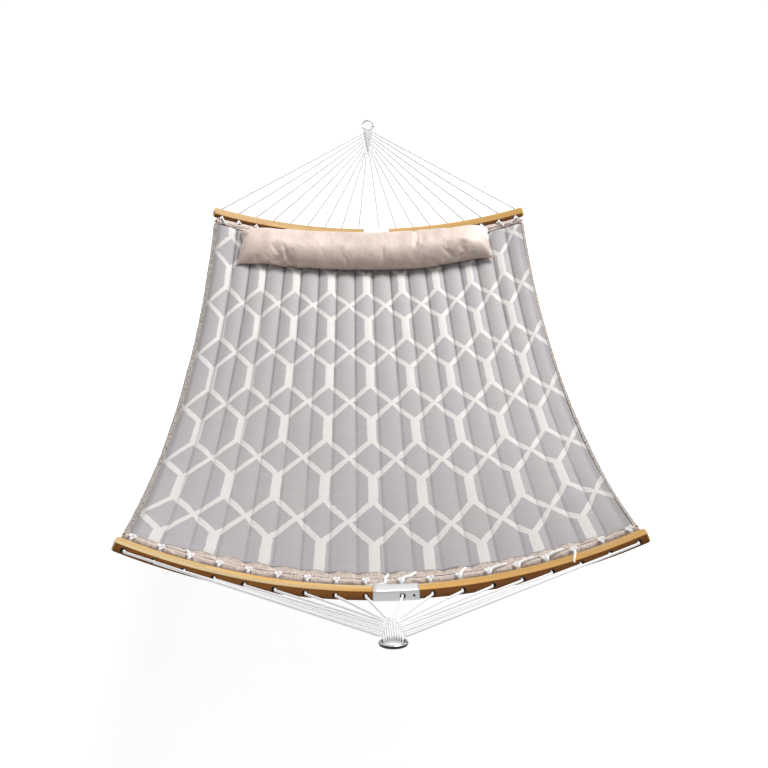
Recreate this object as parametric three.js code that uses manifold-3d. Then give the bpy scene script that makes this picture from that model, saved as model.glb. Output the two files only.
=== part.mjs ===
// Quilted hammock with two bent spreader bars, hung from a ring at each end, with a loose pillow.
//
// Millimetres, +Z up, +Y from the foot to the head, +X to the right of someone looking at the head.
// The origin is the centre of the head ring, which hangs on a hook. The foot end mirrors the head end.
//
// Each end, from the outside in: a ring, nine cords folded over it and woven into a clew, a bar of two
// bent halves in a sleeve with eighteen holes, a knot behind each hole, and a hem whose rod the cords go
// round. The quilt between the hems is a padded sheet, sewn into lengthwise channels.

import * as THREE from 'three';
import { mergeVertices } from 'three/addons/utils/BufferGeometryUtils.js';
import Module from 'manifold-3d';

const wasm = await Module();
wasm.setup();

// Gaps
const SEAT_GAP = 0.35;

// Spreader bars
const BAR_BEND_RADIUS = 1650;
const BAR_LENGTH = 1440;
const BAR_DEPTH = 38;
const BAR_HEIGHT = 27;
const BAR_EASED_EDGE = 4;
const BAR_END_ROUND = 11;
const BAR_LEAN = THREE.MathUtils.degToRad(24);
const SPLIT_GAP = 0.6;

// Cord holes in the bars, counted from the split
const HOLES_PER_HALF = 9;
const FIRST_HOLE = 49;
const HOLE_PITCH = 80;
const HOLE_RADIUS = 6.5;
const HOLE_SIDES = 8;

// Sleeve that joins the halves of a bar, fixed to the right half
const SLEEVE_ON_LEFT = 30;
const SLEEVE_ON_RIGHT = 94;
const SLEEVE_WALL = 1.6;
const SLEEVE_HOLE_RADIUS = 8;

// Screw that fixes the sleeve
const SCREW_FROM_SPLIT = 79;
const SCREW_RADIUS = 1.8;
const SCREW_LENGTH = 22;
const SCREW_HEAD_RADIUS = 3.4;
const SCREW_HEAD_HEIGHT = 2.2;
const SCREW_SIDES = 10;

// Cords
const CORD_RADIUS = 2.8;
const DRAWN_CORD_RADIUS = 2.2;
const CORD_SIDES = 5;
const MOUTH_BEND_RADIUS = 8;
const MOUTH_BEND_ABOVE_FACE = 8;
const KNOT_RADIUS = 7.4;
const KNOT_LENGTH = 12;

// Rings
const RING_RADIUS = 26;
const RING_WIRE_RADIUS = 4;
const RING_STEPS = 24;
const RING_WIRE_SIDES = 6;

// Clew: where the ring hangs, and how the cords are woven below it
const CLEW_LENGTH = 548;
const CLEW_RISE = THREE.MathUtils.degToRad(42);
const WARP_PITCH = 4.7;
const BIGHT_CLEARANCE = 0.8;
const FIRST_WEFT = 40;
const WEFT_PITCH = 7.4;
const WEFT_EXIT = 3;
const EXIT_BEND_RADIUS = 5;

// Rods and hems
const ROD_RADIUS = 6;
const ROD_SIDES = 6;
const ROD_BEYOND_HEM = 8;
const WRAP_CLEARANCE = 1.4;
const WRAP_START = THREE.MathUtils.degToRad(40);
const WRAP_STEP = THREE.MathUtils.degToRad(60);
const WRAP_STEPS = 4;
const HEM_WALL = 1.5;
const HEM_SIDES = 8;
const HEM_BEYOND_HOLE = 16;
const EYELET_RADIUS = 4.4;
const EYELET_SIDES = 6;

// Quilt
const BED_LENGTH = 2006;
const CHANNELS = 19;
const QUILT_ROWS = 6;
const QUILT_SAG = 48;
const MIDDLE_CURVE = 0.15;
const PANEL_THICKNESS = 1.2;
const SEAM_HALF_THICKNESS = 2.6;
const CROWN_HALF_THICKNESS = 9.6;
const BINDING_WIDTH = 10;
const BINDING_HEIGHT = 9;

// Pillow
const PILLOW_LENGTH = 1120;
const PILLOW_DEPTH = 245;
const PILLOW_HEIGHT = 113;
const PILLOW_OFF_CENTRE = -20;
const PILLOW_FROM_HEM = 22;
const PILLOW_EAR = 12;
const PILLOW_EDGE = 3;
const PILLOW_STATIONS = 14;
const PILLOW_SINK = 2;

// Finishes
const finish = (color, roughness, metalness = 0) => ({ color, roughness, metalness });
const BAMBOO = finish(0xd9aa6a, 0.45);
const ALUMINIUM = finish(0xc9cbce, 0.35, 1);
const STEEL = finish(0xb9bcc0, 0.22, 1);
const DARK_STEEL = finish(0x3c3d40, 0.4, 1);
const ROPE = finish(0xf3f1ee, 0.85);
const GREY_CLOTH = finish(0xb3aeb4, 0.8);
const WADDING = finish(0xf4f2ee, 0.95);
const TAUPE_CLOTH = finish(0xb9a596, 0.75);
const SATIN = finish(0xc4b2a5, 0.5);
const BIRCH = finish(0xd8c39a, 0.6);

// Values that follow from the sizes above
const SLEEVE_DEPTH = BAR_DEPTH + 2 * (SEAT_GAP + SLEEVE_WALL);
const SLEEVE_HEIGHT = BAR_HEIGHT + 2 * (SEAT_GAP + SLEEVE_WALL);
const LAST_HOLE = FIRST_HOLE + (HOLES_PER_HALF - 1) * HOLE_PITCH;
const HEM_END = LAST_HOLE + HEM_BEYOND_HOLE;
const ROD_END = HEM_END + ROD_BEYOND_HEM;
const QUILT_SIDE = BAR_BEND_RADIUS * Math.sin(HEM_END / BAR_BEND_RADIUS);
const WRAP_RADIUS = ROD_RADIUS + WRAP_CLEARANCE + DRAWN_CORD_RADIUS;
const HEM_BORE_RADIUS = (WRAP_RADIUS + DRAWN_CORD_RADIUS + SEAT_GAP) / Math.cos(Math.PI / HEM_SIDES);
const HEM_RADIUS = HEM_BORE_RADIUS + HEM_WALL;
const KNOT_START = BAR_DEPTH / 2 + SEAT_GAP;
const ROD_FROM_BAR = KNOT_START + KNOT_LENGTH + HEM_RADIUS;
const HEM_FLAT = HEM_RADIUS * Math.cos(Math.PI / HEM_SIDES);
const QUILT_END_FROM_BAR = ROD_FROM_BAR + HEM_FLAT + SEAT_GAP;
const BAR_FROM_CENTRE = BED_LENGTH / 2 - HEM_RADIUS + ROD_FROM_BAR * Math.cos(BAR_LEAN);
const BIGHT_RADIUS = RING_WIRE_RADIUS + BIGHT_CLEARANCE + DRAWN_CORD_RADIUS;
const LAYER_DEPTH = 2 * DRAWN_CORD_RADIUS + SEAT_GAP / 2;
const CORDS = HOLES_PER_HALF;

// Closed surface through rings of points, each ring anticlockwise as seen from the next one
function loft(rings) {
  const count = rings[0].length;
  const indices = [];
  for (let i = 0; i < rings.length - 1; i++) {
    for (let k = 0; k < count; k++) {
      const a = i * count + k;
      const b = i * count + (k + 1) % count;
      indices.push(a, b, b + count, a, b + count, a + count);
    }
  }
  const last = (rings.length - 1) * count;
  for (let k = 1; k < count - 1; k++) {
    indices.push(0, k + 1, k, last, last + k, last + k + 1);
  }
  return surface(rings.flat(), indices);
}

function surface(points, indices) {
  const geometry = new THREE.BufferGeometry().setFromPoints(points);
  geometry.setIndex(indices);
  geometry.computeVertexNormals();
  return geometry;
}

// Round tube along points, thick or thin by its radius at each of them
function tube(points, radii, sides = CORD_SIDES) {
  const axis = new THREE.Vector3();
  const across = new THREE.Vector3();
  const beside = new THREE.Vector3();
  const rings = points.map((point, i) => {
    const before = points[Math.max(i - 1, 0)];
    const after = points[Math.min(i + 1, points.length - 1)];
    axis.subVectors(after, before).normalize();
    if (i === 0) {
      across.set(0, 0, 1);
      if (Math.abs(axis.z) > 0.9) across.set(1, 0, 0);
    }
    across.addScaledVector(axis, -across.dot(axis)).normalize();
    beside.crossVectors(axis, across);
    return Array.from({ length: sides }, (_, k) => {
      const turn = 2 * Math.PI * k / sides;
      return point.clone()
        .addScaledVector(across, radii[i] * Math.cos(turn))
        .addScaledVector(beside, radii[i] * Math.sin(turn));
    });
  });
  return loft(rings);
}

// Copy on the other side of the XZ plane, for the foot end
function mirrored(geometry) {
  const copy = geometry.clone().scale(1, -1, 1);
  const index = copy.getIndex().array.slice();
  for (let i = 0; i < index.length; i += 3) [index[i], index[i + 1]] = [index[i + 1], index[i]];
  copy.setIndex(Array.from(index));
  copy.computeVertexNormals();
  return copy;
}

function solid(geometry) {
  const bare = geometry.clone();
  bare.deleteAttribute('normal');
  bare.deleteAttribute('uv');
  const merged = mergeVertices(bare);
  return new wasm.Manifold(new wasm.Mesh({
    numProp: 3,
    vertProperties: new Float32Array(merged.getAttribute('position').array),
    triVerts: new Uint32Array(merged.getIndex().array),
  }));
}

function cut(geometry, cutters) {
  let result = solid(geometry);
  for (const cutter of cutters) result = result.subtract(solid(cutter));
  const mesh = result.getMesh();
  const cutGeometry = new THREE.BufferGeometry();
  cutGeometry.setAttribute('position', new THREE.BufferAttribute(new Float32Array(mesh.vertProperties), 3));
  cutGeometry.setIndex(Array.from(mesh.triVerts));
  cutGeometry.computeVertexNormals();
  return cutGeometry;
}

// A bar's own frame: x along its chord, y outwards through its holes, z up in the plane of its bend.
// length is measured along the bend from the split; out, up and along are offsets from the centre line.
function barPoint(length, out = 0, up = 0, along = 0) {
  const turn = length / BAR_BEND_RADIUS;
  const x = (BAR_BEND_RADIUS - up) * Math.sin(turn) + along * Math.cos(turn);
  const z = BAR_BEND_RADIUS - (BAR_BEND_RADIUS - up) * Math.cos(turn) + along * Math.sin(turn);
  return new THREE.Vector3(x, out, z);
}

// The head bar's frame in the frame of the bed, whose origin is midway between the bars
const headBarPlace = new THREE.Matrix4()
  .makeRotationX(BAR_LEAN)
  .setPosition(0, BAR_FROM_CENTRE, 0);

const bedPoint = (...offsets) => barPoint(...offsets).applyMatrix4(headBarPlace);

// Solid with a constant outline, bent along the bar's centre line
function bentBar(outline, lengths, out = 0) {
  return loft(lengths.map((length) => outline.map(([y, z]) => barPoint(length, out + y, z))));
}

function easedRectangle(depth, height, ease) {
  const y = depth / 2;
  const z = height / 2;
  return [
    [y, ease - z], [y, z - ease], [y - ease, z], [ease - y, z],
    [-y, z - ease], [-y, ease - z], [ease - y, -z], [y - ease, -z],
  ];
}

// Regular outline with a flat side towards the quilt
function polygon(radius, sides) {
  return Array.from({ length: sides }, (_, k) => {
    const turn = 2 * Math.PI * (k + 0.5) / sides;
    return [radius * Math.cos(turn), radius * Math.sin(turn)];
  });
}

const holeLengths = Array.from({ length: HOLES_PER_HALF }, (_, k) => FIRST_HOLE + k * HOLE_PITCH);
const allHoleLengths = [...holeLengths.map((length) => -length).reverse(), ...holeLengths];

function holeCutter(length, radius, depth, sides, out = 0, up = 0, along = 0) {
  const { x, y, z } = barPoint(length, out, up, along);
  return new THREE.CylinderGeometry(radius, radius, depth, sides)
    .rotateY(-length / BAR_BEND_RADIUS)
    .translate(x, y, z);
}

// Half of a spreader bar: bent bamboo with eased edges, a rounded outer end and a row of cord holes
function barHalf(side) {
  const end = BAR_LENGTH / 2;
  const whole = easedRectangle(BAR_DEPTH, BAR_HEIGHT, BAR_EASED_EDGE);
  const sleeveEnd = side > 0 ? SLEEVE_ON_RIGHT : SLEEVE_ON_LEFT;
  const stops = [SPLIT_GAP / 2, sleeveEnd, ...holeLengths].sort((a, b) => a - b);
  const rings = stops.map((length) => [length, 0]);
  for (const share of [0, 0.5, 0.85, 1]) {
    rings.push([end - BAR_END_ROUND * (1 - share), BAR_END_ROUND * (1 - Math.sqrt(1 - share * share))]);
  }
  if (side < 0) rings.reverse();
  const bar = loft(rings.map(([length, inset]) => whole.map(([y, z]) => {
    const narrowed = Math.sign(y) * Math.min(Math.abs(y), BAR_DEPTH / 2 - inset);
    return barPoint(side * length, narrowed, z);
  })));
  const cutters = holeLengths.map((length) =>
    holeCutter(side * length, HOLE_RADIUS, BAR_DEPTH + 2, HOLE_SIDES));
  if (side > 0) cutters.push(screwCutter());
  return cut(bar, cutters);
}

// Sleeve: extruded tube over the ends of both halves, bent as they are
function barSleeve() {
  const lengths = [-SLEEVE_ON_LEFT, 0, FIRST_HOLE, SLEEVE_ON_RIGHT];
  const outside = bentBar(easedRectangle(SLEEVE_DEPTH, SLEEVE_HEIGHT, BAR_EASED_EDGE), lengths);
  const boreLengths = [-SLEEVE_ON_LEFT - 1, 0, FIRST_HOLE, SLEEVE_ON_RIGHT + 1];
  const boreOutline = easedRectangle(BAR_DEPTH + 2 * SEAT_GAP, BAR_HEIGHT + 2 * SEAT_GAP, BAR_EASED_EDGE);
  const bore = bentBar(boreOutline, boreLengths);
  const cordHole = holeCutter(FIRST_HOLE, SLEEVE_HOLE_RADIUS, SLEEVE_DEPTH + 2, HOLE_SIDES);
  return cut(outside, [bore, cordHole, screwCutter()]);
}

// Screw from the outside face into the right half, and the hole that it sits in
const screwAxis = (y) => barPoint(SCREW_FROM_SPLIT, y);

function screwCutter() {
  const length = SCREW_LENGTH + 1;
  const middle = SLEEVE_DEPTH / 2 + 1 - length / 2;
  return holeCutter(SCREW_FROM_SPLIT, SCREW_RADIUS + SEAT_GAP, length + SEAT_GAP, SCREW_SIDES, middle);
}

function sleeveScrew() {
  const face = SLEEVE_DEPTH / 2 + SEAT_GAP;
  const profile = [
    [0, face + SCREW_HEAD_HEIGHT],
    [SCREW_HEAD_RADIUS * 0.6, face + SCREW_HEAD_HEIGHT],
    [SCREW_HEAD_RADIUS, face + SCREW_HEAD_HEIGHT * 0.4],
    [SCREW_HEAD_RADIUS, face],
    [SCREW_RADIUS, face],
    [SCREW_RADIUS, face - SCREW_LENGTH + SCREW_RADIUS],
    [0, face - SCREW_LENGTH],
  ].map(([radius, y]) => new THREE.Vector2(radius, y)).reverse();
  const { x, z } = screwAxis(0);
  return new THREE.LatheGeometry(profile, SCREW_SIDES)
    .rotateY(-SCREW_FROM_SPLIT / BAR_BEND_RADIUS)
    .translate(x, 0, z);
}

// Rod in a hem, and the hem round it with an eyelet for each cord
function hemRod() {
  return bentBar(polygon(ROD_RADIUS, ROD_SIDES), [-ROD_END, ...allHoleLengths, ROD_END], -ROD_FROM_BAR);
}

function hem() {
  const stretch = (end) => [-end, ...allHoleLengths, end];
  const outside = bentBar(polygon(HEM_RADIUS, HEM_SIDES), stretch(HEM_END), -ROD_FROM_BAR);
  const bore = bentBar(polygon(HEM_BORE_RADIUS, HEM_SIDES), stretch(HEM_END + 1), -ROD_FROM_BAR);
  const eyelets = allHoleLengths.map((length) => {
    const { up } = wrapEntry(HEM_RADIUS - HEM_WALL / 2);
    const out = HEM_RADIUS - ROD_FROM_BAR;
    return holeCutter(length, EYELET_RADIUS, 2 * WRAP_RADIUS * 0.6, EYELET_SIDES, out, up, cordSeat(length).along);
  });
  return cut(outside, [bore, ...eyelets]);
}

// The cord lies against the side of its hole that faces the ring
function cordSeat(length) {
  const reach = HOLE_RADIUS * Math.cos(Math.PI / HOLE_SIDES) - CORD_RADIUS - SEAT_GAP;
  const turn = length / BAR_BEND_RADIUS;
  const hole = barPoint(length);
  const ring = ringCentre.clone().applyMatrix4(headBarPlace.clone().invert());
  const along = (ring.x - hole.x) * Math.cos(turn) + (ring.z - hole.z) * Math.sin(turn);
  const up = (ring.z - hole.z) * Math.cos(turn) - (ring.x - hole.x) * Math.sin(turn);
  const scale = reach / Math.hypot(along, up);
  return { along: along * scale, up: up * scale };
}

// Where the cord crosses a circle round the rod on its way from the knot to the wrap
function wrapEntry(radius) {
  const from = ROD_FROM_BAR - KNOT_START - KNOT_LENGTH;
  const toOut = WRAP_RADIUS * Math.cos(WRAP_START);
  const toUp = WRAP_RADIUS * Math.sin(WRAP_START);
  const share = (from - radius) / (from - toOut);
  return { out: radius, up: toUp * share };
}

// Ring and clew. In the clew's frame, x is across it, rise is out of its upper face, and drop is
// measured from the ring's centre towards the bar.
const ringCentre = new THREE.Vector3(
  0,
  BAR_FROM_CENTRE + CLEW_LENGTH * Math.cos(CLEW_RISE),
  CLEW_LENGTH * Math.sin(CLEW_RISE),
);
const middleOfHoles = allHoleLengths
  .reduce((sum, length) => sum.add(bedPoint(length, BAR_DEPTH / 2)), new THREE.Vector3())
  .divideScalar(allHoleLengths.length);
const dropAxis = middleOfHoles.clone().sub(ringCentre).setX(0).normalize();
const riseAxis = new THREE.Vector3(0, dropAxis.z, -dropAxis.y);

function clewPoint(x, rise, drop) {
  return ringCentre.clone()
    .add(new THREE.Vector3(x, 0, 0))
    .addScaledVector(riseAxis, rise)
    .addScaledVector(dropAxis, drop);
}

function ring() {
  return new THREE.TorusGeometry(RING_RADIUS, RING_WIRE_RADIUS, RING_WIRE_SIDES, RING_STEPS);
}

// Points of a bend that replaces the corner between two straight runs
function bend(before, corner, after, radius, steps = 2) {
  const back = before.clone().sub(corner).normalize();
  const on = after.clone().sub(corner).normalize();
  const halfTurn = (Math.PI - back.angleTo(on)) / 2;
  const reach = radius * Math.tan(halfTurn);
  const start = corner.clone().addScaledVector(back, reach);
  const end = corner.clone().addScaledVector(on, reach);
  const curve = new THREE.QuadraticBezierCurve3(start, corner, end);
  return curve.getPoints(steps);
}

// One leg of a cord: from the ring down its warp, round into its weft, out on the far side of the
// clew, through the bar, and round the rod. Legs leave in levels, the outermost first, and each goes
// to a hole on the other side of the clew.
function legRoute(level, side) {
  const column = side * (CORDS - 1 - level) / 2;
  const warp = side * Math.ceil(Math.abs(column) - 0.001) * WARP_PITCH;
  const layer = level % 2 === 0 ? 1 : -1;
  const last = level === CORDS - 1;
  const face = last ? -side : layer;
  const across = -side;
  const weft = FIRST_WEFT + WEFT_PITCH * (2 * level + (side > 0 ? 1 : 0));
  const exit = -warp + across * WEFT_EXIT;

  const hole = across * (LAST_HOLE - level * HOLE_PITCH);
  const seat = cordSeat(hole);
  const mouth = BAR_DEPTH / 2 + MOUTH_BEND_ABOVE_FACE;
  const corner = bedPoint(hole, mouth, seat.up, seat.along);
  const exitCorner = clewPoint(exit + across * EXIT_BEND_RADIUS, 0, weft);
  const through = bedPoint(hole, 0, seat.up, seat.along);

  const points = [
    clewPoint(warp, face * LAYER_DEPTH, weft - 0.58 * WEFT_PITCH),
    clewPoint(warp + across * 0.2 * CORD_RADIUS, face * 0.42 * LAYER_DEPTH, weft - 0.2 * WEFT_PITCH),
    clewPoint(warp + across * CORD_RADIUS, 0, weft),
    ...bend(clewPoint(warp, 0, weft), exitCorner, corner, EXIT_BEND_RADIUS),
    ...bend(exitCorner, corner, through, MOUTH_BEND_RADIUS),
    bedPoint(hole, -KNOT_START, seat.up, seat.along),
    bedPoint(hole, -KNOT_START - 0.15 * KNOT_LENGTH, seat.up, seat.along),
    bedPoint(hole, -KNOT_START - 0.7 * KNOT_LENGTH, 0, seat.along),
    bedPoint(hole, -KNOT_START - KNOT_LENGTH, 0, seat.along),
  ];
  const drawn = Array(5).fill(DRAWN_CORD_RADIUS);
  const full = Array(4).fill(CORD_RADIUS);
  const radii = [...drawn, ...full, CORD_RADIUS, KNOT_RADIUS, KNOT_RADIUS, DRAWN_CORD_RADIUS];

  for (let step = 0; step <= WRAP_STEPS; step++) {
    const turn = WRAP_START + step * WRAP_STEP;
    const out = WRAP_RADIUS * Math.cos(turn) - ROD_FROM_BAR;
    points.push(bedPoint(hole, out, WRAP_RADIUS * Math.sin(turn), seat.along));
    radii.push(DRAWN_CORD_RADIUS);
  }
  return { points, radii, warp, face };
}

// The bight of a cord over the ring, from its upper leg to its lower one
function bight(warp) {
  const outer = Math.abs(warp) + DRAWN_CORD_RADIUS;
  const inside = Math.sqrt(Math.max(0, (RING_RADIUS - RING_WIRE_RADIUS) ** 2 - outer ** 2));
  const top = inside - SEAT_GAP - DRAWN_CORD_RADIUS;
  const side = Math.sqrt(RING_RADIUS ** 2 - warp ** 2);
  const points = [0, 45, 90, 135, 180].map(THREE.MathUtils.degToRad).map((turn) => {
    const drop = side - (side - top) * Math.sin(turn);
    return clewPoint(warp, BIGHT_RADIUS * Math.cos(turn), drop);
  });
  return points;
}

// Cord number 0 hangs at the middle of the ring and has a leg to each side. The others have both legs
// on one side of the ring.
function cord(number) {
  const rank = Math.ceil(number / 2);
  const side = number % 2 === 0 ? 1 : -1;
  const levels = CORDS - 1 - 2 * rank;
  const upper = rank === 0 ? legRoute(CORDS - 1, -1) : legRoute(levels, side);
  const lower = rank === 0 ? legRoute(CORDS - 1, 1) : legRoute(levels + 1, side);
  const over = bight(upper.warp);
  const points = [...upper.points.reverse(), ...over, ...lower.points];
  const radii = [...upper.radii.reverse(), ...over.map(() => DRAWN_CORD_RADIUS), ...lower.radii];
  return tube(points, radii);
}

// Middle surface of the quilt. across is measured from its centre line, share runs from -1 at the foot
// to 1 at the head. It hangs from the curve of each bar and flattens between them.
function quiltEnd(across) {
  const length = BAR_BEND_RADIUS * Math.asin(across / BAR_BEND_RADIUS);
  return bedPoint(length, -QUILT_END_FROM_BAR);
}

function hungQuilt(across, share) {
  const centre = quiltEnd(0);
  const end = quiltEnd(across);
  const lowest = centre.z - QUILT_SAG + (end.z - centre.z) * MIDDLE_CURVE;
  const y = share * centre.y - share ** 3 * (centre.y - end.y);
  const z = lowest + (end.z - lowest) * share * share;
  return new THREE.Vector3(across, y, z);
}

const rowShares = Array.from({ length: QUILT_ROWS + 1 }, (_, i) => -1 + 2 * i / QUILT_ROWS);

// The quilt as it is faceted, straight between its rows
function quiltPoint(across, share) {
  const row = Math.min(Math.floor((share + 1) / 2 * QUILT_ROWS), QUILT_ROWS - 1);
  const part = (share + 1) / 2 * QUILT_ROWS - row;
  return hungQuilt(across, rowShares[row]).lerp(hungQuilt(across, rowShares[row + 1]), part);
}

// Direction of the quilt's thickness: square to it, but upright at its sides, and at its ends in the
// plane of the bar's bend
function quiltNormal(across, share) {
  const step = 0.5;
  const along = hungQuilt(across, share + 0.001).sub(hungQuilt(across, share - 0.001));
  const over = hungQuilt(across + step, share).sub(hungQuilt(across - step, share));
  const normal = over.cross(along);
  if (Math.abs(across) > QUILT_SIDE - 1) normal.setX(0);
  normal.normalize();
  if (Math.abs(share) < 1) return normal;
  const outwards = new THREE.Vector3(0, share * Math.cos(BAR_LEAN), Math.sin(BAR_LEAN));
  return normal.addScaledVector(outwards, -normal.dot(outwards)).normalize();
}

// Sheet between two heights above the middle surface. Each height is a function of the place across a
// channel, from 0 at one seam to 1 at the next.
function quiltSheet(lower, upper) {
  const places = [];
  for (let channel = 0; channel < CHANNELS; channel++) {
    for (const part of [0, SHOULDER, 1 - SHOULDER]) places.push({ across: (channel + part) / CHANNELS, part });
  }
  places.push({ across: 1, part: 0 });
  const points = [];
  for (const share of rowShares) {
    for (const { across, part } of places) {
      const x = (2 * across - 1) * QUILT_SIDE;
      const normal = quiltNormal(x, share);
      const base = hungQuilt(x, share);
      points.push(base.clone().addScaledVector(normal, lower(part)));
      points.push(base.clone().addScaledVector(normal, upper(part)));
    }
  }
  return sheetSurface(points, places.length, rowShares.length);
}

// Closed surface of a sheet whose points come row by row, lower then upper at each place
function sheetSurface(points, columns, rows) {
  const at = (row, column, top) => 2 * (row * columns + column) + top;
  const indices = [];
  const quad = (a, b, c, d) => indices.push(a, b, c, a, c, d);
  for (let row = 0; row < rows - 1; row++) {
    for (let column = 0; column < columns - 1; column++) {
      quad(at(row, column, 1), at(row, column + 1, 1), at(row + 1, column + 1, 1), at(row + 1, column, 1));
      quad(at(row, column, 0), at(row + 1, column, 0), at(row + 1, column + 1, 0), at(row, column + 1, 0));
    }
    quad(at(row, 0, 0), at(row, 0, 1), at(row + 1, 0, 1), at(row + 1, 0, 0));
    const side = columns - 1;
    quad(at(row, side, 0), at(row + 1, side, 0), at(row + 1, side, 1), at(row, side, 1));
  }
  for (let column = 0; column < columns - 1; column++) {
    quad(at(0, column, 0), at(0, column + 1, 0), at(0, column + 1, 1), at(0, column, 1));
    const end = rows - 1;
    quad(at(end, column, 0), at(end, column, 1), at(end, column + 1, 1), at(end, column + 1, 0));
  }
  return surface(points, indices);
}

const SHOULDER = 0.28;
const crown = (part) => (part === 0 ? SEAM_HALF_THICKNESS : CROWN_HALF_THICKNESS);
const underPanel = (part) => crown(part) - PANEL_THICKNESS;
const fillTop = (part) => underPanel(part) - SEAT_GAP;

// Binding sewn round a side of the quilt
function binding(side) {
  const y = BINDING_WIDTH / 2;
  const z = BINDING_HEIGHT / 2;
  const outline = [[-y, -z * 0.7], [y * 0.5, -z], [y, 0], [y * 0.5, z], [-y, z * 0.7]];
  const centre = SEAT_GAP + BINDING_WIDTH / 2;
  const rings = rowShares.map((share) => {
    const base = hungQuilt(side * QUILT_SIDE, share);
    const normal = quiltNormal(side * QUILT_SIDE, share);
    return outline.map(([out, up]) => {
      const beside = new THREE.Vector3(side * (centre + out), 0, 0);
      return base.clone().addScaledVector(normal, up).add(beside);
    });
  });
  if (side > 0) rings.forEach((points) => points.reverse());
  return loft(rings);
}

// Pillow: a stuffed bag that lies on the quilt along the head hem. Its four corners stick out as ears,
// and its edges pull in between them.
function pillow() {
  const rings = [];
  const half = PILLOW_LENGTH / 2;
  for (let i = 0; i <= PILLOW_STATIONS; i++) {
    const place = -Math.cos(Math.PI * i / PILLOW_STATIONS);
    const fullness = Math.sqrt(Math.max(0, 1 - Math.abs(place) ** 5));
    const height = PILLOW_EDGE + (PILLOW_HEIGHT - PILLOW_EDGE) * fullness;
    const depth = PILLOW_DEPTH - PILLOW_EAR * fullness;
    rings.push(pillowSection(place * half, height, depth));
  }
  const under = quiltSheet(() => -4 * PILLOW_SINK, (part) => crown(part) + SEAT_GAP);
  return cut(loft(rings), [under]);
}

// Outline of the pillow at one place: flat where it sinks into the quilt, crowned above
function pillowSection(x, height, depth) {
  const fromHem = PILLOW_FROM_HEM + PILLOW_DEPTH / 2;
  const outline = [
    [-0.5, 0.3], [-0.44, 0.1], [-0.3, 0], [0, 0], [0.3, 0], [0.44, 0.1], [0.5, 0.3],
    [0.46, 0.62], [0.3, 0.88], [0, 1], [-0.3, 0.88], [-0.46, 0.62],
  ];
  return outline.map(([along, up]) => {
    const across = x + PILLOW_OFF_CENTRE;
    const share = 1 - (fromHem - along * depth) / quiltEnd(0).y;
    const rest = CROWN_HALF_THICKNESS - PILLOW_SINK;
    return quiltPoint(across, share).add(new THREE.Vector3(0, 0, rest + up * height));
  });
}

// Assembly
const meshes = [];

function addMesh(parent, name, geometry, look) {
  const mesh = new THREE.Mesh(geometry, new THREE.MeshStandardMaterial(look));
  mesh.name = name;
  parent.add(mesh);
  meshes.push(mesh);
  return mesh;
}

const hammock = new THREE.Group();
const bed = new THREE.Group();
bed.position.copy(ringCentre).negate();
hammock.add(bed);

const endPieces = [
  ['bar_left', barHalf(-1), BAMBOO],
  ['bar_right', barHalf(1), BAMBOO],
  ['bar_sleeve', barSleeve(), ALUMINIUM],
  ['sleeve_screw', sleeveScrew(), DARK_STEEL],
  ['rod', hemRod(), BIRCH],
  ['hem', hem(), TAUPE_CLOTH],
];
const ringTilt = Math.atan2(-riseAxis.y, riseAxis.z);

for (const [end, side] of [['head', 1], ['foot', -1]]) {
  const copy = (geometry) => (side > 0 ? geometry : mirrored(geometry));
  const bar = new THREE.Group();
  bar.position.set(0, side * BAR_FROM_CENTRE, 0);
  bar.rotation.x = side * BAR_LEAN;
  bed.add(bar);
  for (const [name, geometry, look] of endPieces) addMesh(bar, `${end}_${name}`, copy(geometry), look);
  const ringMesh = addMesh(bed, `${end}_ring`, ring(), STEEL);
  ringMesh.position.set(0, side * ringCentre.y, ringCentre.z);
  ringMesh.rotation.x = side * ringTilt;
  for (let number = 0; number < CORDS; number++) {
    addMesh(bed, `${end}_cord_${number + 1}`, copy(cord(number)), ROPE);
  }
}

addMesh(bed, 'quilt_top', quiltSheet(underPanel, crown), GREY_CLOTH);
addMesh(bed, 'quilt_fill', quiltSheet((part) => -fillTop(part), fillTop), WADDING);
addMesh(bed, 'quilt_bottom', quiltSheet((part) => -crown(part), (part) => -underPanel(part)), GREY_CLOTH);
addMesh(bed, 'left_binding', binding(-1), TAUPE_CLOTH);
addMesh(bed, 'right_binding', binding(1), TAUPE_CLOTH);
addMesh(bed, 'pillow', pillow(), SATIN);

export default hammock;
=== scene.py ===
"""Quilted hammock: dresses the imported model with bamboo, rope, steel, quilted cloth and satin.

Metres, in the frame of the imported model: the origin is the centre of the head ring, +Y runs from the
foot to the head and +Z is up. Shapes are worked out for the head end, in the bed's frame, whose origin is
midway between the bars, and the foot end is their mirror image.
"""

import math

import bmesh
import bpy
import numpy as np
from mathutils import Matrix, Vector


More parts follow.
